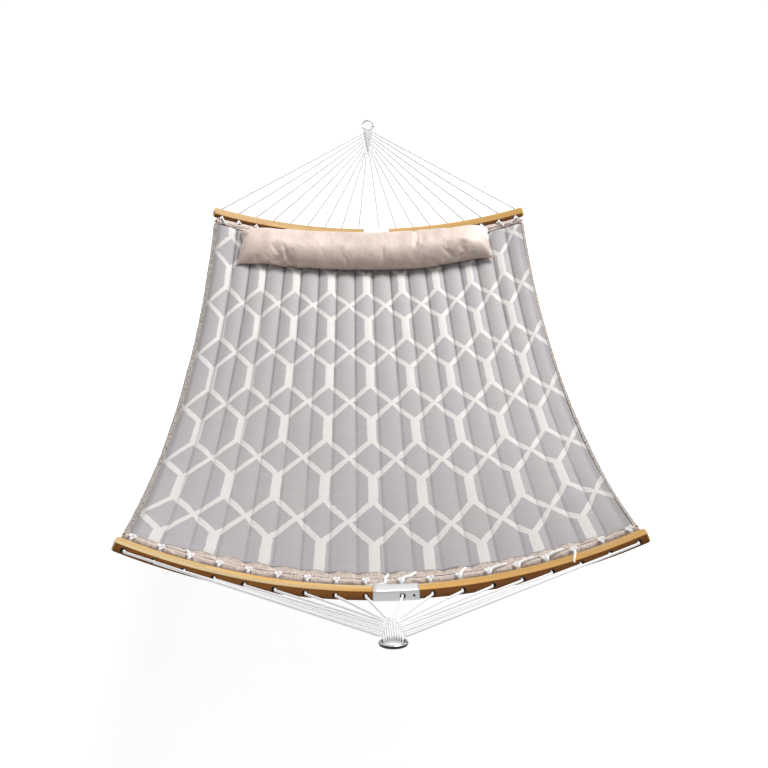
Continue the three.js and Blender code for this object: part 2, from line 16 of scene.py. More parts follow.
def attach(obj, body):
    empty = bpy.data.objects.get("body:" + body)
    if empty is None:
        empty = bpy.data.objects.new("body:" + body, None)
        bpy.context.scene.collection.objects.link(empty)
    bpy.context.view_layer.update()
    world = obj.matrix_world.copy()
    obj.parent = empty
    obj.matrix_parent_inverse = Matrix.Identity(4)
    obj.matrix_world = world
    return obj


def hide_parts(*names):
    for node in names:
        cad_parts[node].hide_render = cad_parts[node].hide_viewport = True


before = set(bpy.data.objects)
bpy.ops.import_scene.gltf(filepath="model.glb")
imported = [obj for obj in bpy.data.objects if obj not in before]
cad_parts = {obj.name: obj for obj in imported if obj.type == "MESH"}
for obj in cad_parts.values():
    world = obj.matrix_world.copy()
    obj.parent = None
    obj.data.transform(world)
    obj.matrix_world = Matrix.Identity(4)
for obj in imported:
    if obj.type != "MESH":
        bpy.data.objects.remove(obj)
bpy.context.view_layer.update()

bl_info = {
    "name": "Quilted hammock",
    "version": (1, 0, 0),
    "blender": (4, 5, 0),
    "location": "3D View > Sidebar > Hammock",
    "description": "Bars, rings, cords, quilt and pillow of a quilted hammock",
    "category": "Object",
}

# Sizes of the solids, which these pieces stand for
SEAT_GAP = 0.00035
BEND_RADIUS = 1.650
BAR_LENGTH = 1.440
BAR_DEPTH = 0.038
BAR_HEIGHT = 0.027
BAR_CORNER = 0.004
BAR_END_ROUND = 0.011
BAR_LEAN = math.radians(24)
SPLIT_GAP = 0.0006
HOLE_COUNT = 9
FIRST_HOLE = 0.049
HOLE_PITCH = 0.080
HOLE_RADIUS = 0.0065
HOLE_SIDES = 8
SLEEVE_ON_LEFT = 0.030
SLEEVE_ON_RIGHT = 0.094
SLEEVE_WALL = 0.0016
SLEEVE_HOLE_RADIUS = 0.008
SCREW_FROM_SPLIT = 0.079
SCREW_HEAD_RADIUS = 0.0034
CORD_RADIUS = 0.0028
DRAWN_CORD_RADIUS = 0.0022
MOUTH_BEND_RADIUS = 0.008
MOUTH_BEND_ABOVE_FACE = 0.008
KNOT_LENGTH = 0.012
RING_RADIUS = 0.026
RING_WIRE_RADIUS = 0.004
CLEW_LENGTH = 0.548
CLEW_RISE = math.radians(42)
WARP_PITCH = 0.0047
BIGHT_CLEARANCE = 0.0008
FIRST_WEFT = 0.040
WEFT_PITCH = 0.0074
WEFT_EXIT = 0.003
EXIT_BEND_RADIUS = 0.005
ROD_RADIUS = 0.006
ROD_BEYOND_HEM = 0.008
WRAP_CLEARANCE = 0.0014
WRAP_START = math.radians(40)
WRAP_TURN = math.radians(240)
SLIT_LIFT = math.radians(66)
HEM_WALL = 0.0015
HEM_SIDES = 8
HEM_BEYOND_HOLE = 0.016
BED_LENGTH = 2.006
QUILT_SAG = 0.048
MIDDLE_CURVE = 0.15
SEAM_HALF_THICKNESS = 0.0026
PILLOW_LENGTH = 1.120
PILLOW_DEPTH = 0.245
PILLOW_HEIGHT = 0.113
PILLOW_OFF_CENTRE = -0.020
PILLOW_FROM_HEM = 0.022

# Values that follow from them
SLEEVE_DEPTH = BAR_DEPTH + 2 * (SEAT_GAP + SLEEVE_WALL)
SLEEVE_HEIGHT = BAR_HEIGHT + 2 * (SEAT_GAP + SLEEVE_WALL)
LAST_HOLE = FIRST_HOLE + (HOLE_COUNT - 1) * HOLE_PITCH
HEM_END = LAST_HOLE + HEM_BEYOND_HOLE
ROD_END = HEM_END + ROD_BEYOND_HEM
QUILT_SIDE = BEND_RADIUS * math.sin(HEM_END / BEND_RADIUS)
WRAP_RADIUS = ROD_RADIUS + WRAP_CLEARANCE + DRAWN_CORD_RADIUS
HEM_BORE = (WRAP_RADIUS + DRAWN_CORD_RADIUS + SEAT_GAP) / math.cos(math.pi / HEM_SIDES)
HEM_RADIUS = HEM_BORE + HEM_WALL
ROPE_RADIUS = CORD_RADIUS + 0.0008
KNOT_START = BAR_DEPTH / 2 + SEAT_GAP
ROD_FROM_BAR = KNOT_START + KNOT_LENGTH + HEM_RADIUS
HEM_FLAT = HEM_RADIUS * math.cos(math.pi / HEM_SIDES)
QUILT_END_FROM_BAR = ROD_FROM_BAR + HEM_FLAT + SEAT_GAP
BAR_FROM_CENTRE = BED_LENGTH / 2 - HEM_RADIUS + ROD_FROM_BAR * math.cos(BAR_LEAN)
BIGHT_RADIUS = RING_WIRE_RADIUS + BIGHT_CLEARANCE + DRAWN_CORD_RADIUS
LAYER_DEPTH = 2 * DRAWN_CORD_RADIUS + SEAT_GAP / 2
RING_CENTRE = np.array([
    0.0,
    BAR_FROM_CENTRE + CLEW_LENGTH * math.cos(CLEW_RISE),
    CLEW_LENGTH * math.sin(CLEW_RISE),
])
HOLES = [side * (FIRST_HOLE + k * HOLE_PITCH) for side in (-1, 1) for k in range(HOLE_COUNT)]
ENDS = (("head", 1), ("foot", -1))

# Seams of the quilt, as the photograph has them: a little right of the middle, and closer at the sides
CHANNELS = 18
SEAM_PITCH = 0.0785
SEAM_SHIFT = 0.009
SEAM_CROWDING = 0.000045
CHANNEL_WIDTH = 2 * QUILT_SIDE / CHANNELS

# Sizes of what is finer than the solids
LAYER_HEIGHT = 0.0052
STRIP_WIDTH = 0.0065
HOLE_EASING = 0.0011
SLEEVE_HOLE_EASING = 0.0004
MOUTH_REACH = 0.0100
SCREW_RIM = 0.0009
SCREW_DOME = 0.0013
SCREW_SHANK_RADIUS = 0.0018
SCREW_SHANK_LENGTH = 0.018
SLOT_HALF_WIDTH = 0.00042
SLOT_REACH = 0.0019
SLOT_DEPTH = 0.0009
KNOT_CORD_RADIUS = 0.0025
LOOP_CORD_RADIUS = 0.0031
TAIL_RADIUS = ROPE_RADIUS + 0.0013
KNOT_TURNS = 2.3
KNOT_REACH = 0.0047
KNOT_TURNS_FROM_BAR = 0.0026
KNOT_TURNS_SPAN = 0.0068
LOOP_REACH = 0.0080
LOOP_HEIGHT = 0.0030
TAIL_CLEARANCE = 0.0040
TAIL_SWAY = 0.0016
HEM_CREASE = 0.0010
HEM_FINE_CREASE = 0.0007
HEM_PULL = 0.0012
SLIT_DEPTH = 0.0026
HEM_CLOTH_THICKNESS = 0.0011
QUILT_THREAD = 0.0012
QUILT_SWAY_HEIGHT = 0.0022
PUCKER_HEIGHT = 0.0008
THINNER_BEFORE_HEM = 0.030
FACING_DEPTH = 0.022
FACING_SEAM = 0.009
FLAP_WIDTH = {-1: 0.009, 1: 0.002}
FOLD_RADIUS = 0.0047
TAPE_THICKNESS = 0.0008
BAG_LENGTH = 1.150
BAG_WIDTH = 0.285
LEAST_PILLOW_HEIGHT = 0.004
PILLOW_REST_HEIGHT = 0.0078
PILLOW_END_LIFT = 0.012
PILLOW_CREASE_DEPTH = 0.0090

# Steps of the meshes
FLAT_STEPS = 6
CORNER_STEPS = 3
TOP_STEPS = 4
MOUTH_STEPS = 4 * FLAT_STEPS
FRONT_FLAT = range(0, FLAT_STEPS)
BACK_START = FLAT_STEPS + 1 + CORNER_STEPS - 1 + TOP_STEPS + 1 + CORNER_STEPS - 1
BACK_FLAT = range(BACK_START, BACK_START + FLAT_STEPS)
SEGMENTS = 14
QUILT_ROWS = 330
STUFFING_FRAMES = 34

# Loose ends of cord by the place of their hole: how far each climbs over the hem, how far it drifts aside
# and, where it is given, the share of the drift that it makes behind the bar
TAILS = {
    "foot": {
        -0.049: (0.026, 0.060, 0.85), 0.049: (0.030, 0.044), 0.209: (0.024, 0.022), 0.289: (0.004, 0.052),
        0.369: (0.006, 0.050), 0.449: (0.006, 0.052), -0.529: (0.012, -0.014),
    },
    "head": {
        -0.689: (0.016, 0.020), -0.609: (0.014, -0.018), -0.529: (0.016, 0.016), 0.529: (0.014, -0.020),
        0.609: (0.018, 0.022), 0.689: (0.014, -0.024), 0.129: (0.016, 0.030),
    },
}
OVER_BAR = {"foot": (0.529,), "head": ()}

# The photograph's camera and the stage
CAMERA_PLACE = (-0.070584, -3.823707, 1.378277)
CAMERA_TURNS = (2.562, 37.601, 1.041)
CAMERA_LENS = 37.770
FLOOR_REACH = 30
FLOOR_HEIGHT = -1.35


# Properties

def length_property(name, description, default):
    return bpy.props.FloatProperty(name=name, description=description, default=default, unit="LENGTH")


def share_property(name, description, default):
    return bpy.props.FloatProperty(
        name=name, description=description, default=default, subtype="FACTOR", min=-1)


def colour_property(name, description, default):
    return bpy.props.FloatVectorProperty(
        name=name, description=description, default=default, subtype="COLOR", size=3, min=0, max=1)


class HammockSizes(bpy.types.PropertyGroup):
    """Sizes of the cloth, the print and the rope that may change without the solids"""

    crown: length_property("Crown", "Half the thickness of a stuffed channel", 0.0088)
    print_width: length_property("Print width", "Repeat of the trellis across the bed", 0.1512)
    print_length: length_property("Print length", "Repeat of the trellis along the bed", 0.3102)
    print_across: length_property("Print across", "Place of the trellis across the bed", -0.0158)
    print_along: length_property("Print along", "Place of the trellis along the bed", 0.4714)
    diamond: length_property("Print diamond", "Half the height of the trellis's diamonds", 0.0995)
    bar_width: length_property("Print bar", "Width of the trellis's upright bars", 0.0310)
    strand_width: length_property("Print strand", "Width of the trellis's slanting strands", 0.0198)
    skew: share_property("Print skew", "Slope of the print's rows", 0.035)
    spread: share_property("Print spread", "Stretch of the print towards the sides", 0.035)
    pinch: share_property("Print pinch", "Narrowing of the print towards the ends", -0.018)
    twist: share_property("Print twist", "Slope of the rows that grows towards the ends", -0.047)
    gather: share_property("Print gather", "Draw of the rows towards the ends", -0.030)
    bow: share_property("Print bow", "Bend of the rows", -0.018)
    fan: share_property("Print fan", "Bend of the rows that grows towards the ends", -0.053)
    wave: share_property("Print wave", "Bend of the rows, up on one side and down on the other", -0.093)
    swerve: share_property("Print swerve", "Drift of the print to one side at the ends", 0.007)
    curl: share_property("Print curl", "Turn of the print at its corners", 0.048)
    lay: length_property("Lay", "Length of one turn of the rope's strands", 0.021)
    stitch: length_property("Stitch", "Length of one stitch", 0.0048)


class HammockColours(bpy.types.PropertyGroup):
    """Base colours of the finishes"""

    ground: colour_property("Quilt ground", "Grey of the printed cloth", (0.480, 0.447, 0.447))
    trellis: colour_property("Quilt trellis", "Cream of the print", (0.740, 0.716, 0.690))
    taupe: colour_property("Hem cloth", "Taupe of the hems and bindings", (0.770, 0.655, 0.580))
    satin: colour_property("Pillow satin", "Taupe of the pillow", (0.640, 0.518, 0.448))
    rope: colour_property("Rope", "White of the rope", (0.970, 0.955, 0.962))
    bamboo: colour_property("Bamboo", "Middle tone of the bamboo", (0.700, 0.405, 0.105))
    birch: colour_property("Rod", "Tone of the wooden rods", (0.640, 0.480, 0.290))


def sizes():
    return bpy.context.scene.hammock_sizes


def colours():
    return bpy.context.scene.hammock_colours


# Nodes

class Socket:
    """An output of a node, on which arithmetic adds Math nodes."""

    def __init__(self, nodes, output):
        self.nodes = nodes
        self.output = output

    def math(self, operation, *others):
        return self.nodes.add("ShaderNodeMath", {"operation": operation}, [self, *others])

    def __add__(self, other):
        return self.math("ADD", other)

    def __radd__(self, other):
        return self.math("ADD", other)

    def __sub__(self, other):
        return self.math("SUBTRACT", other)

    def __rsub__(self, other):
        return self.nodes.add("ShaderNodeMath", {"operation": "SUBTRACT"}, [other, self])

    def __mul__(self, other):
        return self.math("MULTIPLY", other)

    def __rmul__(self, other):
        return self.math("MULTIPLY", other)

    def __truediv__(self, other):
        return self.math("DIVIDE", other)

    def __abs__(self):
        return self.math("ABSOLUTE")

    def fraction(self):
        return self.math("FRACT")

    def sine(self):
        return self.math("SINE")

    def step(self, low, high):
        """0 below low, 1 above high and a smooth rise between them."""
        return self.nodes.add(
            "ShaderNodeMapRange", {"interpolation_type": "SMOOTHSTEP"},
            {"Value": self, "From Min": low, "From Max": high})


class Nodes:
    """A node tree and the ways to add to it."""

    def __init__(self, tree):
        self.tree = tree

    def add(self, kind, settings=None, inputs=(), output=0):
        node = self.tree.nodes.new(kind)
        for name, value in (settings or {}).items():
            setattr(node, name, value)
        pairs = inputs.items() if isinstance(inputs, dict) else enumerate(inputs)
        for name, value in pairs:
            if isinstance(value, Socket):
                self.tree.links.new(value.output, node.inputs[name])
            elif value is not None:
                node.inputs[name].default_value = value
        return Socket(self, node.outputs[output])

    def mix(self, factor, first, second):
        """Colour between first and second."""
        first, second = (c if isinstance(c, Socket) else (*c, 1) for c in (first, second))
        settings = {"data_type": "RGBA"}
        return self.add("ShaderNodeMix", settings, {0: factor, 6: first, 7: second}, 2)

    def tint(self, colour, amount):
        """Colour made lighter or darker by amount, which is around 1."""
        colour = colour if isinstance(colour, Socket) else tuple(colour)
        return self.stretched(colour, self.point(amount, amount, amount))

    def place(self):
        return self.add("ShaderNodeTexCoord", None, (), "Object")

    def attribute(self, name, output="Vector"):
        return self.add("ShaderNodeAttribute", {"attribute_name": name}, (), output)

    def parts(self, vector):
        split = self.add("ShaderNodeSeparateXYZ", None, [vector])
        node = split.output.node
        return [Socket(self, output) for output in node.outputs]

    def point(self, x, y=0.0, z=0.0):
        return self.add("ShaderNodeCombineXYZ", None, [x, y, z])

    def stretched(self, vector, scale):
        return self.add("ShaderNodeVectorMath", {"operation": "MULTIPLY"}, [vector, scale])

    def noise(self, vector, scale, detail=2.0, roughness=0.5):
        inputs = {"Vector": vector, "Scale": scale, "Detail": detail, "Roughness": roughness}
        return self.add("ShaderNodeTexNoise", None, inputs)

    def bump(self, height, distance, strength):
        inputs = {"Strength": strength, "Distance": distance, "Height": height}
        return self.add("ShaderNodeBump", None, inputs)


def material(name, build, **shader):
    """Principled material whose linked inputs come from build and whose constants are in shader."""
    made = bpy.data.materials.new(name)
    made.use_nodes = True
    tree = made.node_tree
    principled = tree.nodes["Principled BSDF"]
    for socket, value in shader.items():
        principled.inputs[socket.replace("_", " ")].default_value = value
    for socket, value in build(Nodes(tree)).items():
        tree.links.new(value.output, principled.inputs[socket])
    return made


FINISHES = {}


def surface(name, **shader):
    """Keeps a function that builds a finish, under the finish's name and with its constants."""
    def keep(build):
        FINISHES[name] = (build, shader)
        return build
    return keep


def finish(name):
    """The material of that name, made when it is first asked for."""
    if name not in bpy.data.materials:
        build, shader = FINISHES[name]
        material(name, build, **shader)
    return bpy.data.materials[name]


def toned(colour, factors):
    return [c * f for c, f in zip(colour, factors)]


def from_middle(value):
    """Distance from the middle of each unit of value, 0 to 0.5."""
    return abs(value.fraction() - 0.5)


def at_head(n):
    """1 at the head end and 0 at the foot."""
    return n.parts(n.place())[1].step(-1.7, -1.1)


@surface("laminated_bamboo", Coat_Roughness=0.22, Specular_IOR_Level=0.35)
def bamboo(n):
    length, out, up = n.parts(n.attribute("place"))
    layer = (up / LAYER_HEIGHT).math("FLOOR")
    strip = (out / STRIP_WIDTH).math("FLOOR")
    batch = n.noise(n.point(layer * 3.7, strip * 5.1, (length * 2.1).math("FLOOR")), 1.3, 0)
    grain = n.noise(n.point(length * 6, out * 420, up * 420), 1, 4, 0.62)
    streak = n.noise(n.point(length * 1.4, out * 60, up * 60), 1, 2)
    glue = from_middle(up / LAYER_HEIGHT).step(0.44, 0.49)
    knuckle = 1 - from_middle(length * 4.3 + batch * 7).step(0.008, 0.060)
    tone = 0.60 + batch * 0.44 + grain * 0.30 + streak * 0.20
    # Painted shade: the bar's front and back faces are darker than its top, and darker again towards the
    # bottom.
    shaded_side = abs(out).step(BAR_DEPTH / 2 - 0.0030, BAR_DEPTH / 2 - 0.0008)
    lower = 1 - up.step(-BAR_HEIGHT / 2, BAR_HEIGHT / 4)
    tone = tone * (1 - glue * 0.20) * (1 - knuckle * 0.09) * (1 - shaded_side * (0.38 + lower * 0.30))
    warm = n.mix(streak, colours().bamboo, toned(colours().bamboo, (0.80, 0.70, 0.56)))
    # Paler patches, random along the bars and most towards the left end of the foot bar: partly the
    # bamboo's own tone, partly a painted highlight. The head bar is a little paler all along.
    pale = (n.noise(n.point(length * 2.3, out * 30), 1, 1) - length * 0.30).step(0.42, 0.72)
    head = at_head(n)
    pale_and_highlight = toned(colours().bamboo, (0.82, 1.14, 2.4))
    warm = n.mix(pale * 0.75 * (1 - head) + head * 0.16, warm, pale_and_highlight)
    shaded = length.step(0.05, 0.4) * 0.13 * (1 - head)
    shaded = shaded + head * (0.215 - length.step(-0.4, 0.4) * 0.125)
    tone = tone * (1 - shaded)
    # Painted shade: the bamboo is darkened round each cord hole and inside it.
    hole = (abs(length) - FIRST_HOLE) / HOLE_PITCH
    along = abs(hole - hole.math("ROUND")) * HOLE_PITCH
    from_hole = (along * along + up * up).math("SQRT")
    rim = 1 - from_hole.step(HOLE_RADIUS + 0.0010, HOLE_RADIUS + 0.0030)
    tone = tone * (1 - rim * 0.88)
    # Darker brown of the front and back faces: painted shade.
    side_shade_colour = toned(colours().bamboo, (0.48, 0.29, 0.13))
    height = grain * 0.6 + glue * -0.8
    return {
        "Base Color": n.mix(shaded_side, n.tint(warm, tone), n.tint(side_shade_colour, tone)),
        "Roughness": 0.42 + grain * 0.16 + shaded_side * 0.2,
        "Coat Weight": (0.18 - shaded_side * 0.14) * (1 - head * 0.8),
        "Normal": n.bump(height, 0.0003, 0.5),
    }


@surface("drawn_aluminium", Metallic=1.0)
def aluminium(n):
    length, out, up = n.parts(n.attribute("place"))
    drawn = n.noise(n.point(length * 9, out * 1500, up * 1500), 1, 2)
    scuff = n.noise(n.place(), 90, 4, 0.7)
    # Painted shade: the sleeve's front and back faces are darker than its top.
    side = abs(out).step(SLEEVE_DEPTH / 2 - 0.0022, SLEEVE_DEPTH / 2 - 0.0004)
    return {
        "Base Color": n.tint((0.78, 0.78, 0.80), 0.92 + drawn * 0.12 - side * 0.36),
        "Roughness": 0.30 + drawn * 0.16 + scuff.step(0.58, 0.72) * 0.10,
        "Normal": n.bump(drawn, 0.00008, 0.5),
    }


@surface("blackened_steel", Metallic=1.0)
def dark_steel(n):
    wear = n.noise(n.place(), 900, 3)
    return {
        "Base Color": n.tint((0.075, 0.073, 0.072), 0.7 + wear * 0.7),
        "Roughness": 0.34 + wear * 0.2,
    }


@surface("polished_steel", Metallic=1.0, Coat_Weight=0.5, Coat_Roughness=0.05)
def polished_steel(n):
    side, rise, _ = n.parts(n.attribute("place"))
    smudge = n.noise(n.place(), 120, 4, 0.6)
    pits = n.noise(n.place(), 1400, 2)
    broken = n.noise(n.point(side * 11), 1, 1).step(0.34, 0.54)
    glint = rise.step(0.40, 0.82) * (0.15 + broken * 0.75)
    shadow = n.tint((0.014, 0.0145, 0.016), 0.82 + smudge * 0.3)
    return {
        "Base Color": n.mix(glint, shadow, (0.66, 0.67, 0.69)),
        "Roughness": 0.07 + smudge * 0.12,
        "Normal": n.bump(pits, 0.00005, 0.35),
    }


# Painted light: the rope at the foot end glows a little (its emission), which lifts its shade; at the head
# end it does not glow.
@surface(
    "laid_rope", Roughness=0.86, Sheen_Weight=0.35, Sheen_Roughness=0.5,
    Subsurface_Weight=0.3, Subsurface_Radius=(1, 1, 1), Subsurface_Scale=0.004, Emission_Strength=0.08)
def rope(n):
    groove = n.attribute("groove", "Fac")
    fibre = n.noise(n.place(), 1500, 2, 0.6)
    soil = n.noise(n.place(), 26, 3)
    head = at_head(n)
    # Painted shade: the rope is darker in the grooves between its strands. It is also darker at the head
    # end.
    tone = 0.98 - groove * 0.08 - soil.step(0.45, 0.9) * 0.03 + fibre * 0.04 - head * 0.10
    return {
        "Base Color": n.tint(colours().rope, tone),
        "Emission Color": n.mix(head, (1, 0.99, 1), (0, 0, 0)),
        "Normal": n.bump(fibre, 0.0003, 0.5),
    }


def weave_height(n, u, v, pitch):
    """Height of a plain weave with threads that far apart."""
    turn = 2 * math.pi / pitch
    return (u * turn).sine() * (v * turn).sine()


@surface("taupe_cloth", Roughness=0.78, Sheen_Weight=0.2, Sheen_Roughness=0.4)
def hem_cloth(n):
    u, v, slit = n.parts(n.attribute("place"))
    crease = n.noise(n.point(u * 230, v * 46), 1, 3, 0.6)
    pull = n.noise(n.point(u * 44, v * 120), 1, 2)
    weave = weave_height(n, u, v, 0.0011)
    fleck = n.noise(n.point(u * 210, v * 260), 1, 2)
    # Painted shade: the cloth is darker where its crease and pull bumps dip.
    tone = 0.58 + crease.step(0.30, 0.66) * 0.30 + pull * 0.22
    tone = tone + fleck.step(0.36, 0.66) * 0.24 + weave * 0.04
    return {
        # The third place value paints the cloth near black: painted shade in the cords' slits, and a
        # painted shadow along the free edge of the facing.
        "Base Color": n.mix(slit, n.tint(colours().taupe, tone), (0.060, 0.045, 0.040)),
        "Normal": n.bump(crease * 0.8 + pull * 0.3 + fleck * 0.3 + weave * 0.06, 0.0026, 0.9),
    }


@surface("taupe_tape", Roughness=0.78, Sheen_Weight=0.2, Sheen_Roughness=0.4)
def tape_cloth(n):
    w, v, _ = n.parts(n.attribute("place"))
    fleck = n.noise(n.point(w * 150, v * 260), 1, 2, 0.6)
    bite = n.noise(n.point(w * 170, v * 110), 1, 2).step(0.48, 0.60)
    weave = weave_height(n, w, v, 0.0013)
    tone = 0.62 + fleck.step(0.32, 0.62) * 0.34 - bite * 0.34 + weave * 0.05
    return {
        "Base Color": n.tint(toned(colours().taupe, (0.80, 0.83, 0.86)), tone),
        "Normal": n.bump(fleck + bite * 0.8 + weave * 0.08, 0.0018, 0.8),
    }


@surface("printed_cloth", Roughness=0.8, Specular_IOR_Level=0.2)
def quilt_cloth(n):
    z = sizes()
    u, w, _ = n.parts(n.add("ShaderNodeUVMap", {"uv_map": "cloth"}))
    drift = n.noise(n.point(u, w), 21, 2)
    drift_along = n.noise(n.point(w, u), 19, 2)
    x = u / 0.7
    bent = w * w * z.gather + x * w * z.twist
    bent = bent + x * x * (w * z.fan + z.bow) + x * x * x * (w * z.curl + z.wave)
    across = u + x * (x * x * z.spread + w * w * z.pinch) + w * w * z.swerve
    across = across + (drift - 0.5) * 0.0050
    along = w + bent + (drift_along - 0.5) * 0.0060
    sdf = trellis(n, across, along + across * z.skew)
    worn = n.noise(n.point(u, w), 700, 2)
    ragged = n.noise(n.point(u, w), 150, 3, 0.6)
    printed = 1 - (sdf + (worn - 0.5) * 0.0020 + (ragged - 0.5) * 0.0052).step(-0.0008, 0.0008)

    pieces = n.parts(n.attribute("place"))[2]
    seam = (0.5 - from_middle(pieces)) * CHANNEL_WIDTH
    near_seam = 1 - seam.step(0.001, 0.016)
    drawn = n.noise(n.point((pieces + 0.5).math("FLOOR") * 5.7, w * 7), 1, 2).step(0.25, 0.7)
    fuller = w.step(-0.75, 0.55)
    # Painted shade in the seams: a narrow dark line, weaker over the print, and a broader shade that grows
    # towards the head, where the channels are fuller.
    line = (1 - seam.step(0.0006, 0.0042)) * (0.35 + drawn * 0.65) * (0.24 + fuller * 0.14)
    seam_shade = line * (1 - printed * 0.4) + (1 - seam.step(0.0, 0.011)) * (0.05 + fuller * 0.15)
    pucker = n.noise(n.point(u * 34, w * 150), 1, 3, 0.55)
    ripple = n.noise(n.point(u * 9, w * 26), 1, 2)
    weave = weave_height(n, u, w, QUILT_THREAD)
    slub = n.noise(n.point(u * 240, w * 1400), 1, 1)

    heather = n.noise(n.point(u * 190 + w * 90, w * 260 - u * 60), 1, 2, 0.6)
    # Painted light and shade: each channel is lighter on its right side and darker on its left, more so
    # towards the head.
    part = pieces.fraction()
    flank_shading = (part.step(-0.1, 1.1) - 0.5) * fuller * 0.25
    tone = 0.925 + ripple * 0.09 + slub * 0.04 + heather * 0.09 + flank_shading - seam_shade - fuller * 0.03
    facing = FACING_DEPTH * (1 - abs(u).step(0.455, 0.67) * 0.85)
    to_facing = quilt_end(0.0)[1] - facing - abs(w) + (ripple - 0.5) * 0.006
    # Painted shadow: a ragged dark band on the quilt just short of the hem's facing.
    facing_shadow = 1 - to_facing.step(0.001, 0.011)
    # Painted shade: the quilt is darker next to the side bindings.
    beside_tape_shade = 1 - (QUILT_SIDE - abs(u)).step(0.012, 0.028)
    tone = tone * (1 - facing_shadow * 0.55) * (1 - beside_tape_shade * 0.24)
    warmth = n.noise(n.point(pieces.math("FLOOR") * 4.3, w * 3), 1, 1).step(0.35, 0.65)
    ground = n.mix(warmth, toned(colours().ground, (0.965, 0.990, 1.030)), colours().ground)
    cloth = n.tint(n.mix(printed, ground, colours().trellis), tone)
    height = pucker * (0.12 + near_seam) * 1.2 + ripple * 0.8 + weave * 0.05 + printed * 0.05
    return {"Base Color": cloth, "Normal": n.bump(height, 0.003, 0.7)}


def trellis(n, across, along):
    """Signed distance to the print: slanting strands between crossings, and upright bars between rows."""
    z = sizes()
    half = z.print_width / 2
    reach = z.diamond
    column = (across - z.print_across) / z.print_width
    row = (z.print_along - along) / z.print_length
    beside = from_middle(column + 0.5) * z.print_width
    below = from_middle(row + 0.5) * z.print_length
    slope = half * reach / math.hypot(half, reach)
    strand = abs(beside / half + below / reach - 1) * slope
    crossing = 1 - (half - beside).step(0.0, 0.022)
    narrow = 0.5 * z.strand_width * (1 - crossing * 0.30)
    bar = (beside - z.bar_width / 2).math("MAXIMUM", (reach + 0.002) - below)
    return (strand - narrow).math("SMOOTH_MIN", bar, 0.010)


@surface("underside_cloth", Roughness=0.8, Sheen_Weight=0.2)
def underside_cloth(n):
    u, w, _ = n.parts(n.add("ShaderNodeUVMap", {"uv_map": "cloth"}))
    weave = weave_height(n, u, w, QUILT_THREAD)
    crease = n.noise(n.point(u * 20, w * 60), 1, 3)
    tone = 0.92 + crease * 0.16 + weave * 0.04
    return {
        "Base Color": n.tint(colours().ground, tone),
        "Normal": n.bump(crease + weave * 0.06, 0.002, 0.6),
    }


@surface("taupe_satin", Sheen_Weight=0.35, Sheen_Roughness=0.3)
def satin(n):
    place = n.place()
    share, across, _ = n.parts(n.attribute("place"))
    mottle = n.noise(place, 11, 3, 0.55)
    crush = n.noise(n.stretched(place, (24, 10, 10)), 1, 3, 0.5)
    fine = n.noise(n.stretched(place, (150, 90, 90)), 1, 3)
    thread = n.noise(place, 1300, 1)
    # Painted light and shade: the satin is lighter where the crush noise rises (painted sheen), lighter on
    # the pillow's left part and darker on its side towards the foot; the mixes below also paint a
    # highlight at the right end, on the hem side.
    tone = 0.82 + mottle.step(0.3, 0.7) * 0.14 + crush * 0.18 + thread * 0.04
    tone = tone * (1.18 - share.step(-0.85, -0.1) * 0.18) * (1 - (1 - across.step(-1.0, -0.3)) * 0.20)
    shine = n.mix(crush.step(0.35, 0.7), colours().satin, toned(colours().satin, (1.10, 1.12, 1.14)))
    shine = n.mix(share.step(0.80, 0.97) * across.step(-0.4, 0.2) * 0.75, shine, (0.93, 0.90, 0.88))
    return {
        "Base Color": n.tint(shine, tone),
        "Roughness": 0.36 + mottle * 0.18,
        "Normal": n.bump(crush + mottle * 1.2 + fine * 0.08 + thread * 0.01, 0.007, 0.42),
    }


@surface("sewing_thread", Roughness=0.6)
def thread(n):
    twist = n.noise(n.place(), 2500, 1)
    return {"Base Color": n.tint((0.56, 0.54, 0.55), 0.85 + twist * 0.3)}


@surface("birch")
def birch(n):
    grain = n.noise(n.stretched(n.place(), (9, 420, 420)), 1, 4)
    return {
        "Base Color": n.tint(colours().birch, 0.8 + grain * 0.4),
        "Roughness": 0.5 + grain * 0.2,
        "Normal": n.bump(grain, 0.0002, 0.4),
    }


# Geometry of the bed

def bar_point(length, out=0.0, up=0.0, along=0.0):
    """Points in the bed's frame from places along the head bar's bend and offsets from its centre line."""
    turn = np.asarray(length, float) / BEND_RADIUS
    x = (BEND_RADIUS - up) * np.sin(turn) + along * np.cos(turn)
    z = BEND_RADIUS - (BEND_RADIUS - up) * np.cos(turn) + along * np.sin(turn)
    y = np.asarray(out, float) + 0 * x
    cosine, sine = math.cos(BAR_LEAN), math.sin(BAR_LEAN)
    return np.stack([x, BAR_FROM_CENTRE + y * cosine - z * sine, y * sine + z * cosine], axis=-1)


def quilt_end(across):
    return bar_point(BEND_RADIUS * np.arcsin(across / BEND_RADIUS), -QUILT_END_FROM_BAR)


def seam_places():
    """Places across the bed of its left side, of the seams and of its right side."""
    number = np.arange(CHANNELS + 1) - CHANNELS / 2
    places = SEAM_SHIFT + SEAM_PITCH * number - SEAM_CROWDING * number ** 3
    places[0], places[-1] = -QUILT_SIDE, QUILT_SIDE
    return places


def hung_quilt(across, share):
    """Middle surface of the quilt. share runs from -1 at the foot to 1 at the head."""
    centre = quilt_end(0.0)
    end = quilt_end(across)
    lowest = centre[2] - QUILT_SAG + (end[..., 2] - centre[2]) * MIDDLE_CURVE
    y = share * centre[1] - share ** 3 * (centre[1] - end[..., 1])
    z = lowest + (end[..., 2] - lowest) * share ** 2
    return np.stack([across + 0 * y, y, z], axis=-1)


